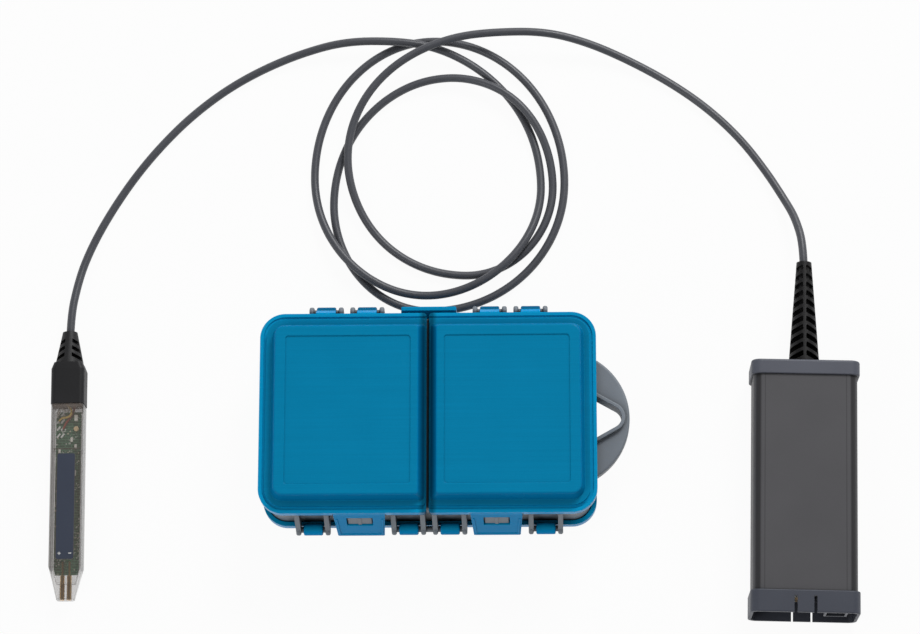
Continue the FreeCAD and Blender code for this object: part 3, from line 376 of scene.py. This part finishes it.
class StageLook(bpy.types.PropertyGroup):
    lens: FloatProperty(name="Lens", description="Focal length in millimetres", default=125.515)
    camera_place: FloatVectorProperty(
        name="Camera Place", description="Where the camera stands", subtype="TRANSLATION",
        default=(0.045, -0.262, 1.15),
    )
    camera_turn: FloatVectorProperty(
        name="Camera Turn", description="Lean of the camera from straight down", subtype="EULER",
        default=(math.radians(14.882), math.radians(1.712), 0.0),
    )
    ambient: FloatProperty(name="Ambient", description="Strength of the light from all round", default=0.5)
    key_power: FloatProperty(
        name="Key Power", description="Power of the main lamp", default=13.0, unit="POWER"
    )
    fill_power: FloatProperty(
        name="Fill Power", description="Power of the side lamp", default=4.0, unit="POWER"
    )
    shadow_share: FloatProperty(
        name="Shadow Share", description="How much of the floor's shadow shows", default=0.05,
        min=0.0, max=1.0, subtype="FACTOR",
    )


# Shader building

def add(tree, kind, inputs=None, **settings):
    """A new node; its inputs are plain values or sockets of other nodes."""
    made = tree.nodes.new(kind)
    for name, value in settings.items():
        setattr(made, name, value)
    for name, value in (inputs or {}).items():
        if isinstance(value, bpy.types.NodeSocket):
            tree.links.new(value, made.inputs[name])
        else:
            made.inputs[name].default_value = value
    return made


def maths(tree, operation, *values):
    """One sum on plain values or sockets."""
    return add(tree, "ShaderNodeMath", dict(enumerate(values)), operation=operation).outputs[0]


def spread(tree, value, low, high, to_low, to_high):
    """A value carried from one range to another."""
    return add(
        tree, "ShaderNodeMapRange",
        {"Value": value, "From Min": low, "From Max": high, "To Min": to_low, "To Max": to_high},
    ).outputs[0]


def blend(tree, share, first, second):
    """A colour between two others."""
    return add(tree, "ShaderNodeMix", {0: share, 6: first, 7: second}, data_type="RGBA").outputs[2]


def between(tree, share, first, second):
    """A number between two others."""
    return add(tree, "ShaderNodeMix", {0: share, 2: first, 3: second}).outputs[0]


def noise(tree, place, scale, detail):
    """Soft noise at a scale per metre."""
    return add(tree, "ShaderNodeTexNoise", {"Vector": place, "Scale": scale, "Detail": detail}).outputs["Fac"]


def scaled(tree, colour, share):
    """A colour made lighter or darker."""
    return add(
        tree, "ShaderNodeVectorMath", {0: colour, "Scale": share}, operation="SCALE"
    ).outputs["Vector"]


def object_place(tree, scale=(1.0, 1.0, 1.0)):
    """Object coordinates, stretched along each axis."""
    place = add(tree, "ShaderNodeTexCoord").outputs["Object"]
    return add(tree, "ShaderNodeMapping", {"Vector": place, "Scale": scale}).outputs[0]


def shader_group(name, inputs, outputs):
    """An empty shader group with named sockets, and its two end nodes."""
    tree = bpy.data.node_groups.new(name, "ShaderNodeTree")
    for label, kind in inputs:
        tree.interface.new_socket(label, in_out="INPUT", socket_type=kind)
    for label, kind in outputs:
        tree.interface.new_socket(label, in_out="OUTPUT", socket_type=kind)
    return tree, tree.nodes.new("NodeGroupInput"), tree.nodes.new("NodeGroupOutput")


def moulded_skin_group():
    """A surface with drifting colour, uneven gloss, fine grain, edges lightened by painted highlight and
    wear, and painted shade in crevices.
    """
    name = "Moulded Skin"
    if name in bpy.data.node_groups:
        return bpy.data.node_groups[name]
    colour, number = "NodeSocketColor", "NodeSocketFloat"
    tree, given, result = shader_group(
        name,
        (("Color", colour), *((label, number) for label in FINISH_VALUES)),
        (("Color", colour), ("Roughness", number), ("Normal", "NodeSocketVector"), ("Edge", number)),
    )
    given = given.outputs
    place = object_place(tree)
    cloud = noise(tree, place, CLOUD_SCALE, CLOUD_DETAIL)
    grain = noise(tree, place, given["Grain Scale"], GRAIN_DETAIL)
    low = maths(tree, "SUBTRACT", 1.0, given["Drift"])
    high = maths(tree, "ADD", 1.0, given["Drift"])
    shade = spread(tree, maths(tree, "ADD", cloud, grain), *CLOUD_RANGE, low, high)
    soft = add(tree, "ShaderNodeBevel", {"Radius": given["Edge Radius"]}, samples=EDGE_SAMPLES).outputs[0]
    facing = add(tree, "ShaderNodeNewGeometry").outputs["True Normal"]
    alike = add(
        tree, "ShaderNodeVectorMath", {0: soft, 1: facing}, operation="DOT_PRODUCT"
    ).outputs["Value"]
    edge = spread(tree, alike, *EDGE_RANGE, 0.0, 1.0)
    # Edges lightened by the Edge Lift: painted highlight, partly wear
    tone_wear_and_painted_light = maths(tree, "MULTIPLY_ADD", edge, given["Edge Lift"], shade)
    # Ambient occlusion darkens crevices: painted shade
    open_share = add(
        tree, "ShaderNodeAmbientOcclusion", {"Distance": given["Crevice Reach"], "Normal": soft},
        samples=CREVICE_SAMPLES,
    ).outputs["AO"]
    painted_crevice_shade = maths(tree, "MULTIPLY", maths(tree, "SUBTRACT", 1.0, open_share), given["Crevice"])
    tone_wear_and_painted_light = maths(tree, "MULTIPLY", tone_wear_and_painted_light, maths(tree, "SUBTRACT", 1.0, painted_crevice_shade))
    tinted = scaled(tree, given["Color"], tone_wear_and_painted_light)
    uneven = maths(tree, "SUBTRACT", cloud, 0.5)
    gloss = maths(tree, "MULTIPLY_ADD", uneven, given["Gloss Spread"], given["Roughness"])
    relief = add(
        tree, "ShaderNodeBump",
        {"Height": grain, "Strength": given["Grain Depth"], "Distance": GRAIN_HEIGHT, "Normal": soft},
    ).outputs["Normal"]
    for label, socket in (("Color", tinted), ("Roughness", gloss), ("Normal", relief), ("Edge", edge)):
        tree.links.new(socket, result.inputs[label])
    return tree


def new_material(name):
    """An empty material and its tree."""
    made = bpy.data.materials.new(name)
    made.use_nodes = True
    made.node_tree.nodes.clear()
    return made, made.node_tree


def skin(tree, colour, finish):
    """The moulded skin in one material; its colour is plain or comes from other nodes."""
    if not isinstance(colour, bpy.types.NodeSocket):
        colour = (*colour, 1.0)
    inputs = {"Color": colour, **dict(zip(FINISH_VALUES, FINISHES[finish]))}
    return add(tree, "ShaderNodeGroup", inputs, node_tree=moulded_skin_group()).outputs


def shader(tree, surface, plain=None):
    """A Principled shader fed by the moulded skin, led to the material's output."""
    inputs = {
        "Base Color": surface["Color"], "Roughness": surface["Roughness"], "Normal": surface["Normal"],
        **(plain or {}),
    }
    made = add(tree, "ShaderNodeBsdfPrincipled", inputs)
    out = tree.nodes.new("ShaderNodeOutputMaterial")
    tree.links.new(made.outputs[0], out.inputs["Surface"])


def moulded(name, colour, finish, plain=None):
    """A material of one colour and finish; plain values go straight on the shader's sockets."""
    made, tree = new_material(name)
    shader(tree, skin(tree, colour, finish), plain)
    return made


def own_place(tree, origin, turn):
    """Where a point lies across and along the head or the pod, in metres."""
    middle = (origin[0] * MM, origin[1] * MM, 0.0)
    place = add(tree, "ShaderNodeTexCoord").outputs["Object"]
    turned = add(
        tree, "ShaderNodeVectorRotate", {"Vector": place, "Center": middle, "Angle": math.radians(-turn)},
        rotation_type="Z_AXIS",
    ).outputs[0]
    shifted = add(
        tree, "ShaderNodeVectorMath", {0: turned, 1: middle}, operation="SUBTRACT"
    ).outputs["Vector"]
    return add(tree, "ShaderNodeSeparateXYZ", {0: shifted}).outputs


def stripe(tree, value, middle, width, share):
    """A soft stripe where a value in metres is near a middle in millimetres."""
    away = maths(tree, "ABSOLUTE", maths(tree, "SUBTRACT", value, middle * MM))
    return spread(tree, away, 0.5 * width * MM, width * MM, share, 0.0)


def lid_plastic(name, look, split_shade, hook_painted_light):
    """Blue lid plastic with faint streaks, a deeper blue painted as shade on steep walls, painted shade along
    the split, and painted light in the rims and hooks.
    """
    made, tree = new_material(name)
    streak = add(
        tree, "ShaderNodeTexNoise",
        {
            "Vector": object_place(tree, STREAK_STRETCH), "Scale": 1.0, "Detail": STREAK_DETAIL,
            "Roughness": STREAK_ROUGHNESS,
        },
    ).outputs["Fac"]
    share = spread(tree, streak, *STREAK_RANGE, 1.0 - STREAK, 1.0 + STREAK)
    place = add(tree, "ShaderNodeSeparateXYZ", {0: object_place(tree)}).outputs
    from_middle = maths(tree, "ABSOLUTE", maths(tree, "SUBTRACT", place["Z"], CASE_MIDDLE * MM))
    # Painted light: rims and hooks made paler by their height, as light through thin plastic
    rim_painted_shading = maths(
        tree, "MINIMUM", spread(tree, from_middle, RIM_REACH * MM, DOME_FOOT * MM, RIM_PAINTED_LIGHT, 1.0),
        spread(tree, from_middle, HOOK_REACH * MM, RIM_START * MM, hook_painted_light, RIM_PAINTED_LIGHT),
    )
    # Painted shade on the dome walls that face each other across the split
    split = maths(tree, "SUBTRACT", 1.0, stripe(tree, place["X"], 0.0, SPLIT_WIDTH, split_shade))
    share = maths(tree, "MULTIPLY", share, maths(tree, "MULTIPLY", rim_painted_shading, split))
    facing = add(tree, "ShaderNodeTexCoord").outputs["Normal"]
    upright = maths(tree, "ABSOLUTE", add(tree, "ShaderNodeSeparateXYZ", {0: facing}).outputs["Z"])
    # Painted shade: steep walls blended to a deeper blue
    steep = spread(tree, upright, FLAT_FACE, STEEP_FACE, 0.0, 1.0)
    colour = blend(tree, steep, (*look.lid_blue, 1.0), (*look.lid_steep_shade, 1.0))
    surface = skin(tree, scaled(tree, colour, share), "lid")
    shader(tree, surface, {"Specular IOR Level": LID_GLOSS, "IOR": LID_IOR})
    return made


def body_plastic(colour):
    """Grey body plastic, with painted dark blue shade in the slit between the upper lids."""
    made, tree = new_material("body_plastic")
    place = add(tree, "ShaderNodeSeparateXYZ", {0: object_place(tree)}).outputs
    # Painted shade: the body darkened to a deep blue in the slit
    slit = stripe(tree, place["X"], 0.0, SLIT_WIDTH, SLIT_SHADE)
    high = maths(tree, "GREATER_THAN", place["Z"], SLIT_FOOT * MM)
    inside = maths(tree, "LESS_THAN", maths(tree, "ABSOLUTE", place["Y"]), SLIT_REACH * MM)
    slit = maths(tree, "MULTIPLY", slit, maths(tree, "MULTIPLY", high, inside))
    shader(tree, skin(tree, blend(tree, slit, (*colour, 1.0), (*SLIT_BLUE, 1.0)), "body"))
    return made


def sleeve_skin(colour):
    """Matt sleeve with a fine seam and painted shade on the shoulder along each side of its top."""
    made, tree = new_material("sleeve_skin")
    side = maths(tree, "ABSOLUTE", own_place(tree, POD_MIDDLE, POD_TURN)["X"])
    # The seam is a real line; the shoulder is painted shade
    seam_and_painted_shoulder_shade = maths(
        tree, "MAXIMUM", stripe(tree, side, SEAM_PLACE, SEAM_WIDTH, SEAM_SHADE),
        stripe(tree, side, SHOULDER_PLACE, SHOULDER_WIDTH, SHOULDER_SHADE),
    )
    share = maths(tree, "SUBTRACT", 1.0, seam_and_painted_shoulder_shade)
    shader(tree, skin(tree, scaled(tree, colour, share), "sleeve"), {"Specular IOR Level": SATIN_GLOSS})
    return made


def board_mask(colour):
    """Green solder mask with pale traces, vias and patches of fine print."""
    made, tree = new_material("board_mask")
    place = object_place(tree)
    traces = add(tree, "ShaderNodeTexBrick", {"Vector": place, **TRACE_PATTERN}).outputs["Fac"]
    vias, specks = (
        maths(
            tree, "LESS_THAN",
            add(tree, "ShaderNodeTexVoronoi", {"Vector": place, "Scale": scale}).outputs["Distance"], size,
        )
        for scale, size in ((VIA_SCALE, VIA_SIZE), (PRINT_SCALE, PRINT_SIZE))
    )
    patch = maths(tree, "GREATER_THAN", noise(tree, place, PATCH_SCALE, PATCH_DETAIL), PATCH_START)
    fine_print = maths(tree, "MULTIPLY", specks, patch)
    marked = (*colour, 1.0)
    for share, (strength, pale) in ((traces, TRACE_MARK), (vias, VIA_MARK), (fine_print, PRINT_MARK)):
        marked = blend(tree, maths(tree, "MULTIPLY", share, strength), marked, pale)
    shader(tree, skin(tree, marked, "mask"))
    return made


def clear_casing(colour, veil):
    """Smoky clear plastic: a thin veil, denser in the side walls and at the end, with painted dark outlines
    along the edges, the sides and a step.
    """
    made, tree = new_material("clear_casing")
    place = own_place(tree, HEAD_TIP, HEAD_TURN)
    side = maths(tree, "ABSOLUTE", place["X"])
    # Painted shade: dark outlines at the sides and along the step line
    rim_painted_shading = spread(tree, side, OUTLINE_START * MM, OUTLINE_FULL * MM, 0.0, 1.0)
    rim_painted_shading = maths(tree, "MAXIMUM", rim_painted_shading, stripe(tree, place["Y"], STEP_PLACE, STEP_WIDTH, STEP_SHADE))
    shade = maths(tree, "MULTIPLY_ADD", rim_painted_shading, -OUTLINE_SHADE, 1.0)
    surface = skin(tree, scaled(tree, colour, shade), "clear")
    wall = spread(tree, side, WALL_START * MM, WALL_FULL * MM, 0.0, WALL_VEIL)
    end = spread(tree, place["Y"], END_START * MM, END_FULL * MM, 0.0, END_VEIL)
    clear = stripe(tree, side, GAP_PLACE, GAP_WIDTH, GAP_SHARE)
    denser = maths(tree, "MAXIMUM", maths(tree, "SUBTRACT", wall, clear), end)
    # Painted shade: the veil thickens along edges and outlines
    for mask, share in ((surface["Edge"], EDGE_VEIL), (rim_painted_shading, OUTLINE_VEIL)):
        denser = maths(tree, "MAXIMUM", denser, maths(tree, "MULTIPLY", mask, share))
    shader(tree, surface, {"Alpha": maths(tree, "ADD", denser, veil), "IOR": CASING_IOR})
    return made


def dress(material, *names):
    """Gives a material to CAD nodes by name."""
    for name in names:
        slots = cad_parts[name].data.materials
        slots.clear()
        slots.append(material)


# Pieces

def nurbs_curve(name, points, radius, sides):
    """A round smooth cord along a route's points, in metres."""
    data = bpy.data.curves.new(name, "CURVE")
    data.dimensions = "3D"
    data.bevel_depth = radius
    data.bevel_resolution = sides
    data.use_fill_caps = True
    data.resolution_u = ROUTE_STEPS
    spline = data.splines.new("NURBS")
    spline.points.add(len(points) - 1)
    for target, (x, y, z) in zip(spline.points, points):
        target.co = (x, y, z, 1.0)
    spline.order_u = 3
    spline.use_endpoint_u = True
    made = bpy.data.objects.new(name, data)
    bpy.context.collection.objects.link(made)
    return made


def loop_points():
    """The loops as quarter ellipses from each outermost point to the next, rising where they cross."""
    points = []
    for index, (x0, y0) in enumerate(LOOP_EXTREMES[:-1]):
        x1, y1 = LOOP_EXTREMES[index + 1]
        middle_x, middle_y = (x0, y1) if index % 2 == 0 else (x1, y0)
        for step in range(POINTS_PER_QUARTER):
            share = step / POINTS_PER_QUARTER
            turn = share * math.pi / 2
            half, within = divmod(2 * share, 1.0)
            low, high = LOOP_HEIGHTS[2 * index + int(half):2 * index + int(half) + 2]
            rise = within * within * (3 - 2 * within)
            points.append((
                middle_x + (x0 - middle_x) * math.cos(turn) + (x1 - middle_x) * math.sin(turn),
                middle_y + (y0 - middle_y) * math.cos(turn) + (y1 - middle_y) * math.sin(turn),
                low + (high - low) * rise,
            ))
    points.append((*LOOP_EXTREMES[-1], LOOP_HEIGHTS[-1]))
    return points


def head_stand(middle, turn=0.0):
    """A place and turn on the head, in its own frame."""
    bench = Matrix.Translation((*HEAD_TIP, 0.0)) @ Matrix.Rotation(math.radians(HEAD_TURN), 4, "Z")
    return bench @ Matrix.Translation(middle) @ Matrix.Rotation(math.radians(turn), 4, "Z")


def case_stand(x, turn):
    """A place along the case, turned about its middle where a piece belongs to the lower lid."""
    middle = Matrix.Translation((x, 0.0, CASE_MIDDLE)) @ Matrix.Rotation(math.radians(turn), 4, "X")
    return middle @ Matrix.Translation((0.0, 0.0, -CASE_MIDDLE))


def sloped(across):
    """A lean that follows the latch tabs' slope as it rises, and goes across by a share of its height."""
    lean = Matrix.Identity(4)
    lean[0][2] = across
    lean[1][2] = LATCH_SLOPE
    return lean


def hem_boxes(x, turn, root, tip):
    """The two side hems and the lower hem of a latch tab."""
    foot = Matrix.Translation((0.0, LATCH_FACE - LATCH_SLOPE * LATCH_LENGTH, LATCH_FOOT))
    stand = case_stand(x, turn) @ foot
    rise = Matrix.Translation((0.0, 0.0, HEM_INSET + HEM_TALL / 2))
    boxes = []
    for side in (-1, 1):
        place = Matrix.Translation((side * (tip / 2 - HEM_INSET), 0.0, 0.0))
        lean = sloped(side * (root - tip) / 2 / LATCH_LENGTH)
        boxes.append((stand @ place @ lean @ rise, (HEM_WIDTH, HEM_THICK, HEM_TALL)))
    rise = Matrix.Translation((0.0, 0.0, HEM_INSET + HEM_WIDTH / 2))
    boxes.append((stand @ sloped(0.0) @ rise, (tip - 2 * HEM_INSET, HEM_THICK, HEM_WIDTH)))
    return boxes


def blocks(name, boxes, material, body="root"):
    """Small soft-edged boxes on one body, each a stand and a size in millimetres."""
    mesh = bpy.data.meshes.new(name)
    shape = bmesh.new()
    for stand, size in boxes:
        made = bmesh.ops.create_cube(
            shape, size=1.0, matrix=Matrix.Scale(MM, 4) @ stand @ Matrix.Diagonal((*size, 1.0))
        )
        edges = {edge for vert in made["verts"] for edge in vert.link_edges}
        bmesh.ops.bevel(
            shape, geom=list(edges), offset=SOFT_EDGE * min(size) * MM, segments=2, profile=0.5,
            affect="EDGES", material=-1,
        )
    shape.to_mesh(mesh)
    shape.free()
    mesh.materials.append(material)
    made = bpy.data.objects.new(name, mesh)
    bpy.context.collection.objects.link(made)
    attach(made, body)
    return made


class PROBE_OT_cable(bpy.types.Operator):
    """Lay the grey cable from the probe head round its loops to the pod"""
    bl_idname = "probe.cable"
    bl_label = "Cable"

    def execute(self, context):
        look = context.scene.cable_look
        route = [
            head_point(0.0, NECK_END - CABLE_HOLD, HEAD_AXIS),
            head_point(0.0, NECK_END + LEAD_OUT, HEAD_AXIS),
            *(Vector(point) * MM for point in (*HEAD_LEAD, *loop_points(), *POD_LEAD)),
            pod_point(0.0, RELIEF_END + LEAD_OUT, POD_AXIS),
            pod_point(0.0, RELIEF_END - CABLE_HOLD, POD_AXIS),
        ]
        cable = nurbs_curve("cable", route, look.diameter / 2, CABLE_SIDES)
        cable.data.materials.append(moulded("cable_jacket", look.jacket_grey, "jacket"))
        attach(cable, "root")
        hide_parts("cable_head_lead", "cable_coil", "cable_pod_lead")
        return {"FINISHED"}


class PROBE_OT_lids(bpy.types.Operator):
    """Finish the lids and latches of the accessory case, and hem the latch tabs"""
    bl_idname = "probe.lids"
    bl_label = "Lids and Latches"

    def execute(self, context):
        look = context.scene.case_look
        dress(lid_plastic("upper_lid_plastic", look, SPLIT_SHADE, BACK_HOOK_PAINTED_LIGHT), "left_lid", "right_lid")
        plain = lid_plastic("lid_plastic", look, 0.0, FRONT_HOOK_PAINTED_LIGHT)
        dress(plain, "bottom_lid", "left_latch", "right_latch", "bottom_latch")
        for latch, tab in LATCHES.items():
            blocks(f"{latch}_hem", hem_boxes(*tab), plain, latch)
        return {"FINISHED"}


class PROBE_OT_body(bpy.types.Operator):
    """Finish the body and handle of the accessory case, and fill the latch windows with pads"""
    bl_idname = "probe.body"
    bl_label = "Case Body"

    def execute(self, context):
        grey = body_plastic(context.scene.case_look.body_grey)
        dress(grey, "case_body", "carry_handle")
        pads = []
        for x, turn, _, _ in LATCHES.values():
            stand = case_stand(x, turn) @ Matrix.Translation((0.0, CATCH_FRONT, CATCH_HEIGHT)) @ sloped(0.0)
            for wide, deep in (CATCH_PAD, CATCH_RIB):
                place = Matrix.Translation((0.0, CATCH_BACK - deep / 2, 0.0))
                pads.append((stand @ place, (wide, deep, CATCH_TALL)))
        blocks("catch_pads", pads, grey)
        return {"FINISHED"}


class PROBE_OT_pod_housing(bpy.types.Operator):
    """Finish the pod's sleeve, end caps and screws"""
    bl_idname = "probe.pod_housing"
    bl_label = "Pod Housing"

    def execute(self, context):
        look = context.scene.pod_look
        dress(sleeve_skin(look.sleeve_grey), "pod_sleeve")
        dress(moulded("rear_cap_plastic", look.cap_slate, "cap"), "pod_rear_cap")
        front = moulded("front_cap_plastic", look.front_slate, "cap")
        dress(front, "pod_front_cap", "pod_connector_plate")
        dress(moulded("screw_zinc", look.nickel, "plating", {"Metallic": 1.0}), "pod_screws")
        return {"FINISHED"}


class PROBE_OT_pod_connector(bpy.types.Operator):
    """Finish the pod's plug and spring contacts, and the sockets at the head's tip"""
    bl_idname = "probe.pod_connector"
    bl_label = "Pod Connector"

    def execute(self, context):
        look = context.scene.pod_look
        dress(moulded("plug_plating", look.nickel, "plating", {"Metallic": 1.0}), "plug_shell")
        dress(moulded("plug_insulator", look.insulator, "ceramic"), "plug_insulator")
        gold = moulded("contact_plating", look.gold, "plating", {"Metallic": 1.0})
        dress(gold, "plug_pin", "contact_pins", "tip_sockets")
        return {"FINISHED"}


class PROBE_OT_reliefs(bpy.types.Operator):
    """Finish the rubber boots at both ends of the cable"""
    bl_idname = "probe.reliefs"
    bl_label = "Cable Boots"

    def execute(self, context):
        scene = context.scene
        satin = {"Specular IOR Level": SATIN_GLOSS}
        dress(moulded("boot_rubber", scene.head_look.boot_black, "rubber", satin), "head_boot")
        dress(moulded("relief_rubber", scene.pod_look.relief_black, "rubber", satin), "pod_strain_relief")
        return {"FINISHED"}


class PROBE_OT_head_casing(bpy.types.Operator):
    """Finish the probe head's clear casing"""
    bl_idname = "probe.head_casing"
    bl_label = "Head Casing"

    def execute(self, context):
        look = context.scene.head_look
        dress(clear_casing(look.casing_tint, look.casing_veil), "head_shell_top", "head_shell_bottom")
        return {"FINISHED"}


class PROBE_OT_boards(bpy.types.Operator):
    """Finish the circuit boards, their parts and the contact block, and add the solder dashes"""
    bl_idname = "probe.boards"
    bl_label = "Circuit Boards"

    def execute(self, context):
        look = context.scene.head_look
        dress(board_mask(look.board_green), "head_board", "pod_board")
        black = moulded("chip_epoxy", look.chip_black, "epoxy")
        dress(black, "head_amplifier", "pod_chips", "contact_block")
        dress(moulded("chip_ceramic", look.chip_pale, "ceramic"), "head_components")
        brass = moulded("terminal_brass", look.terminal_brass, "plating", {"Metallic": DULL_METAL})
        dress(brass, "head_terminal")
        rise = BOARD_TOP + DASH_SIZE[2] / 2 - DASH_SINK
        dashes = [
            (head_stand((x, y, rise), DASH_LEAN), DASH_SIZE) for x in DASH_COLUMNS for y in DASH_ROWS
        ]
        blocks("solder_dashes", dashes, moulded("solder_print", look.print_white, "ceramic"))
        return {"FINISHED"}


class PROBE_OT_head_wires(bpy.types.Operator):
    """Lay the coloured wires from the cable to the head's board"""
    bl_idname = "probe.head_wires"
    bl_label = "Head Wires"

    def execute(self, context):
        for index, (name, (colour, points)) in enumerate(WIRES.items()):
            wire = nurbs_curve(name, [head_point(*point) for point in points], WIRE_RADIUS * MM, WIRE_SIDES)
            wire.data.materials.append(moulded(name, colour, "jacket"))
            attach(wire, "root")
            if index == 0:
                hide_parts("head_wires")
        return {"FINISHED"}


class PROBE_OT_head_label(bpy.types.Operator):
    """Finish the head's label and add its plus and minus"""
    bl_idname = "probe.head_label"
    bl_label = "Head Label"

    def execute(self, context):
        look = context.scene.head_look
        dress(moulded("label_film", look.label_navy, "film"), "head_label")
        x, y = MARK_PLACE
        bar = (MARK_LENGTH, MARK_WIDTH, MARK_THICK)
        marks = [
            (head_stand((side * x, y, LABEL_TOP), turn), bar)
            for side, turn in ((-1, 0.0), (-1, 90.0), (1, 0.0))
        ]
        blocks("label_marks", marks, moulded("label_print", look.print_white, "film"))
        return {"FINISHED"}


class PROBE_OT_stage(bpy.types.Operator):
    """Set the camera, the soft studio light and the pale floor"""
    bl_idname = "probe.stage"
    bl_label = "Stage"

    def execute(self, context):
        scene = context.scene
        look = scene.stage_look
        scene.view_settings.view_transform = "Standard"
        camera = bpy.data.objects.new("camera", bpy.data.cameras.new("camera"))
        camera.data.lens = look.lens
        camera.location = look.camera_place
        camera.rotation_euler = look.camera_turn
        scene.collection.objects.link(camera)
        scene.camera = camera
        self.world(scene, look.ambient)
        self.lamp(scene, "key_light", KEY_PLACE, KEY_SIZE, look.key_power)
        self.lamp(scene, "fill_light", FILL_PLACE, FILL_SIZE, look.fill_power)
        self.floor(scene, look.shadow_share)
        return {"FINISHED"}

    def world(self, scene, ambient):
        """White to the camera and through glass; for gloss it fades from the horizon to overhead."""
        world = bpy.data.worlds.new("studio")
        world.use_nodes = True
        tree = world.node_tree
        tree.nodes.clear()
        path = add(tree, "ShaderNodeLightPath").outputs
        direction = add(tree, "ShaderNodeTexCoord").outputs["Generated"]
        height = add(tree, "ShaderNodeSeparateXYZ", {0: direction}).outputs["Z"]
        soft = spread(tree, height, 0.0, 1.0, ambient * HORIZON_LIGHT, ambient * OVERHEAD_LIGHT)
        gloss = spread(tree, height, *GLOSS_FADE, 1.0, GLOSS_OVERHEAD)
        strength = between(tree, path["Is Glossy Ray"], soft, gloss)
        plain = maths(tree, "MAXIMUM", path["Is Camera Ray"], path["Is Transmission Ray"])
        light = add(
            tree, "ShaderNodeBackground",
            {"Color": WHITE, "Strength": between(tree, plain, strength, 1.0)},
        )
        out = tree.nodes.new("ShaderNodeOutputWorld")
        tree.links.new(light.outputs[0], out.inputs["Surface"])
        scene.world = world

    def lamp(self, scene, name, place, size, power):
        """A round soft lamp that faces the case."""
        data = bpy.data.lights.new(name, "AREA")
        data.shape = "DISK"
        data.size = size
        data.energy = power
        made = bpy.data.objects.new(name, data)
        made.location = place
        made.rotation_euler = (-Vector(place)).to_track_quat("-Z", "Y").to_euler()
        scene.collection.objects.link(made)

    def floor(self, scene, shadow_share):
        """A wide pale sheet, white to the camera but for a share of the shadow."""
        mesh = bpy.data.meshes.new("floor")
        shape = bmesh.new()
        bmesh.ops.create_grid(shape, x_segments=1, y_segments=1, size=FLOOR_HALF)
        bmesh.ops.translate(shape, verts=shape.verts, vec=(0.0, 0.0, -FLOOR_DROP))
        shape.to_mesh(mesh)
        shape.free()
        made = bpy.data.objects.new("floor", mesh)
        scene.collection.objects.link(made)
        paper, tree = new_material("floor_paper")
        path = add(tree, "ShaderNodeLightPath").outputs
        seen = path["Is Camera Ray"]
        for name in ("Is Glossy Ray", "Is Transmission Ray"):
            seen = maths(tree, "MAXIMUM", seen, path[name])
        matt = add(tree, "ShaderNodeBsdfDiffuse", {"Color": FLOOR_GREY})
        white = add(tree, "ShaderNodeEmission", {"Color": WHITE, "Strength": 1.0})
        share = maths(tree, "MULTIPLY", seen, 1.0 - shadow_share)
        both = add(tree, "ShaderNodeMixShader", {0: share, 1: matt.outputs[0], 2: white.outputs[0]})
        out = tree.nodes.new("ShaderNodeOutputMaterial")
        tree.links.new(both.outputs[0], out.inputs["Surface"])
        mesh.materials.append(paper)


class PROBE_PT_sidebar(bpy.types.Panel):
    """Lists what is made, in order, with its settings"""
    bl_label = "Probe Set"
    bl_idname = "PROBE_PT_sidebar"
    bl_space_type = "VIEW_3D"
    bl_region_type = "UI"
    bl_category = "Probe Set"

    def draw(self, context):
        for operator in OPERATORS:
            self.layout.operator(operator.bl_idname)
        for name, kind in LOOKS.items():
            box = self.layout.box()
            for setting in kind.__annotations__:
                box.prop(getattr(context.scene, name), setting)


LOOKS = {
    "case_look": CaseLook, "cable_look": CableLook, "pod_look": PodLook, "head_look": HeadLook,
    "stage_look": StageLook,
}
OPERATORS = (
    PROBE_OT_cable, PROBE_OT_lids, PROBE_OT_body, PROBE_OT_pod_housing, PROBE_OT_pod_connector,
    PROBE_OT_reliefs, PROBE_OT_head_casing, PROBE_OT_boards, PROBE_OT_head_wires, PROBE_OT_head_label,
    PROBE_OT_stage,
)


def register():
    for kind in (*LOOKS.values(), *OPERATORS, PROBE_PT_sidebar):
        bpy.utils.register_class(kind)
    for name, kind in LOOKS.items():
        setattr(bpy.types.Scene, name, PointerProperty(type=kind))


def unregister():
    for name in LOOKS:
        delattr(bpy.types.Scene, name)
    for kind in reversed((*LOOKS.values(), *OPERATORS, PROBE_PT_sidebar)):
        bpy.utils.unregister_class(kind)


def main():
    register()
    bpy.ops.probe.cable()
    bpy.ops.probe.lids()
    bpy.ops.probe.body()
    bpy.ops.probe.pod_housing()
    bpy.ops.probe.pod_connector()
    bpy.ops.probe.reliefs()
    bpy.ops.probe.head_casing()
    bpy.ops.probe.boards()
    bpy.ops.probe.head_wires()
    bpy.ops.probe.head_label()
    bpy.ops.probe.stage()


if __name__ == "__main__":
    main()
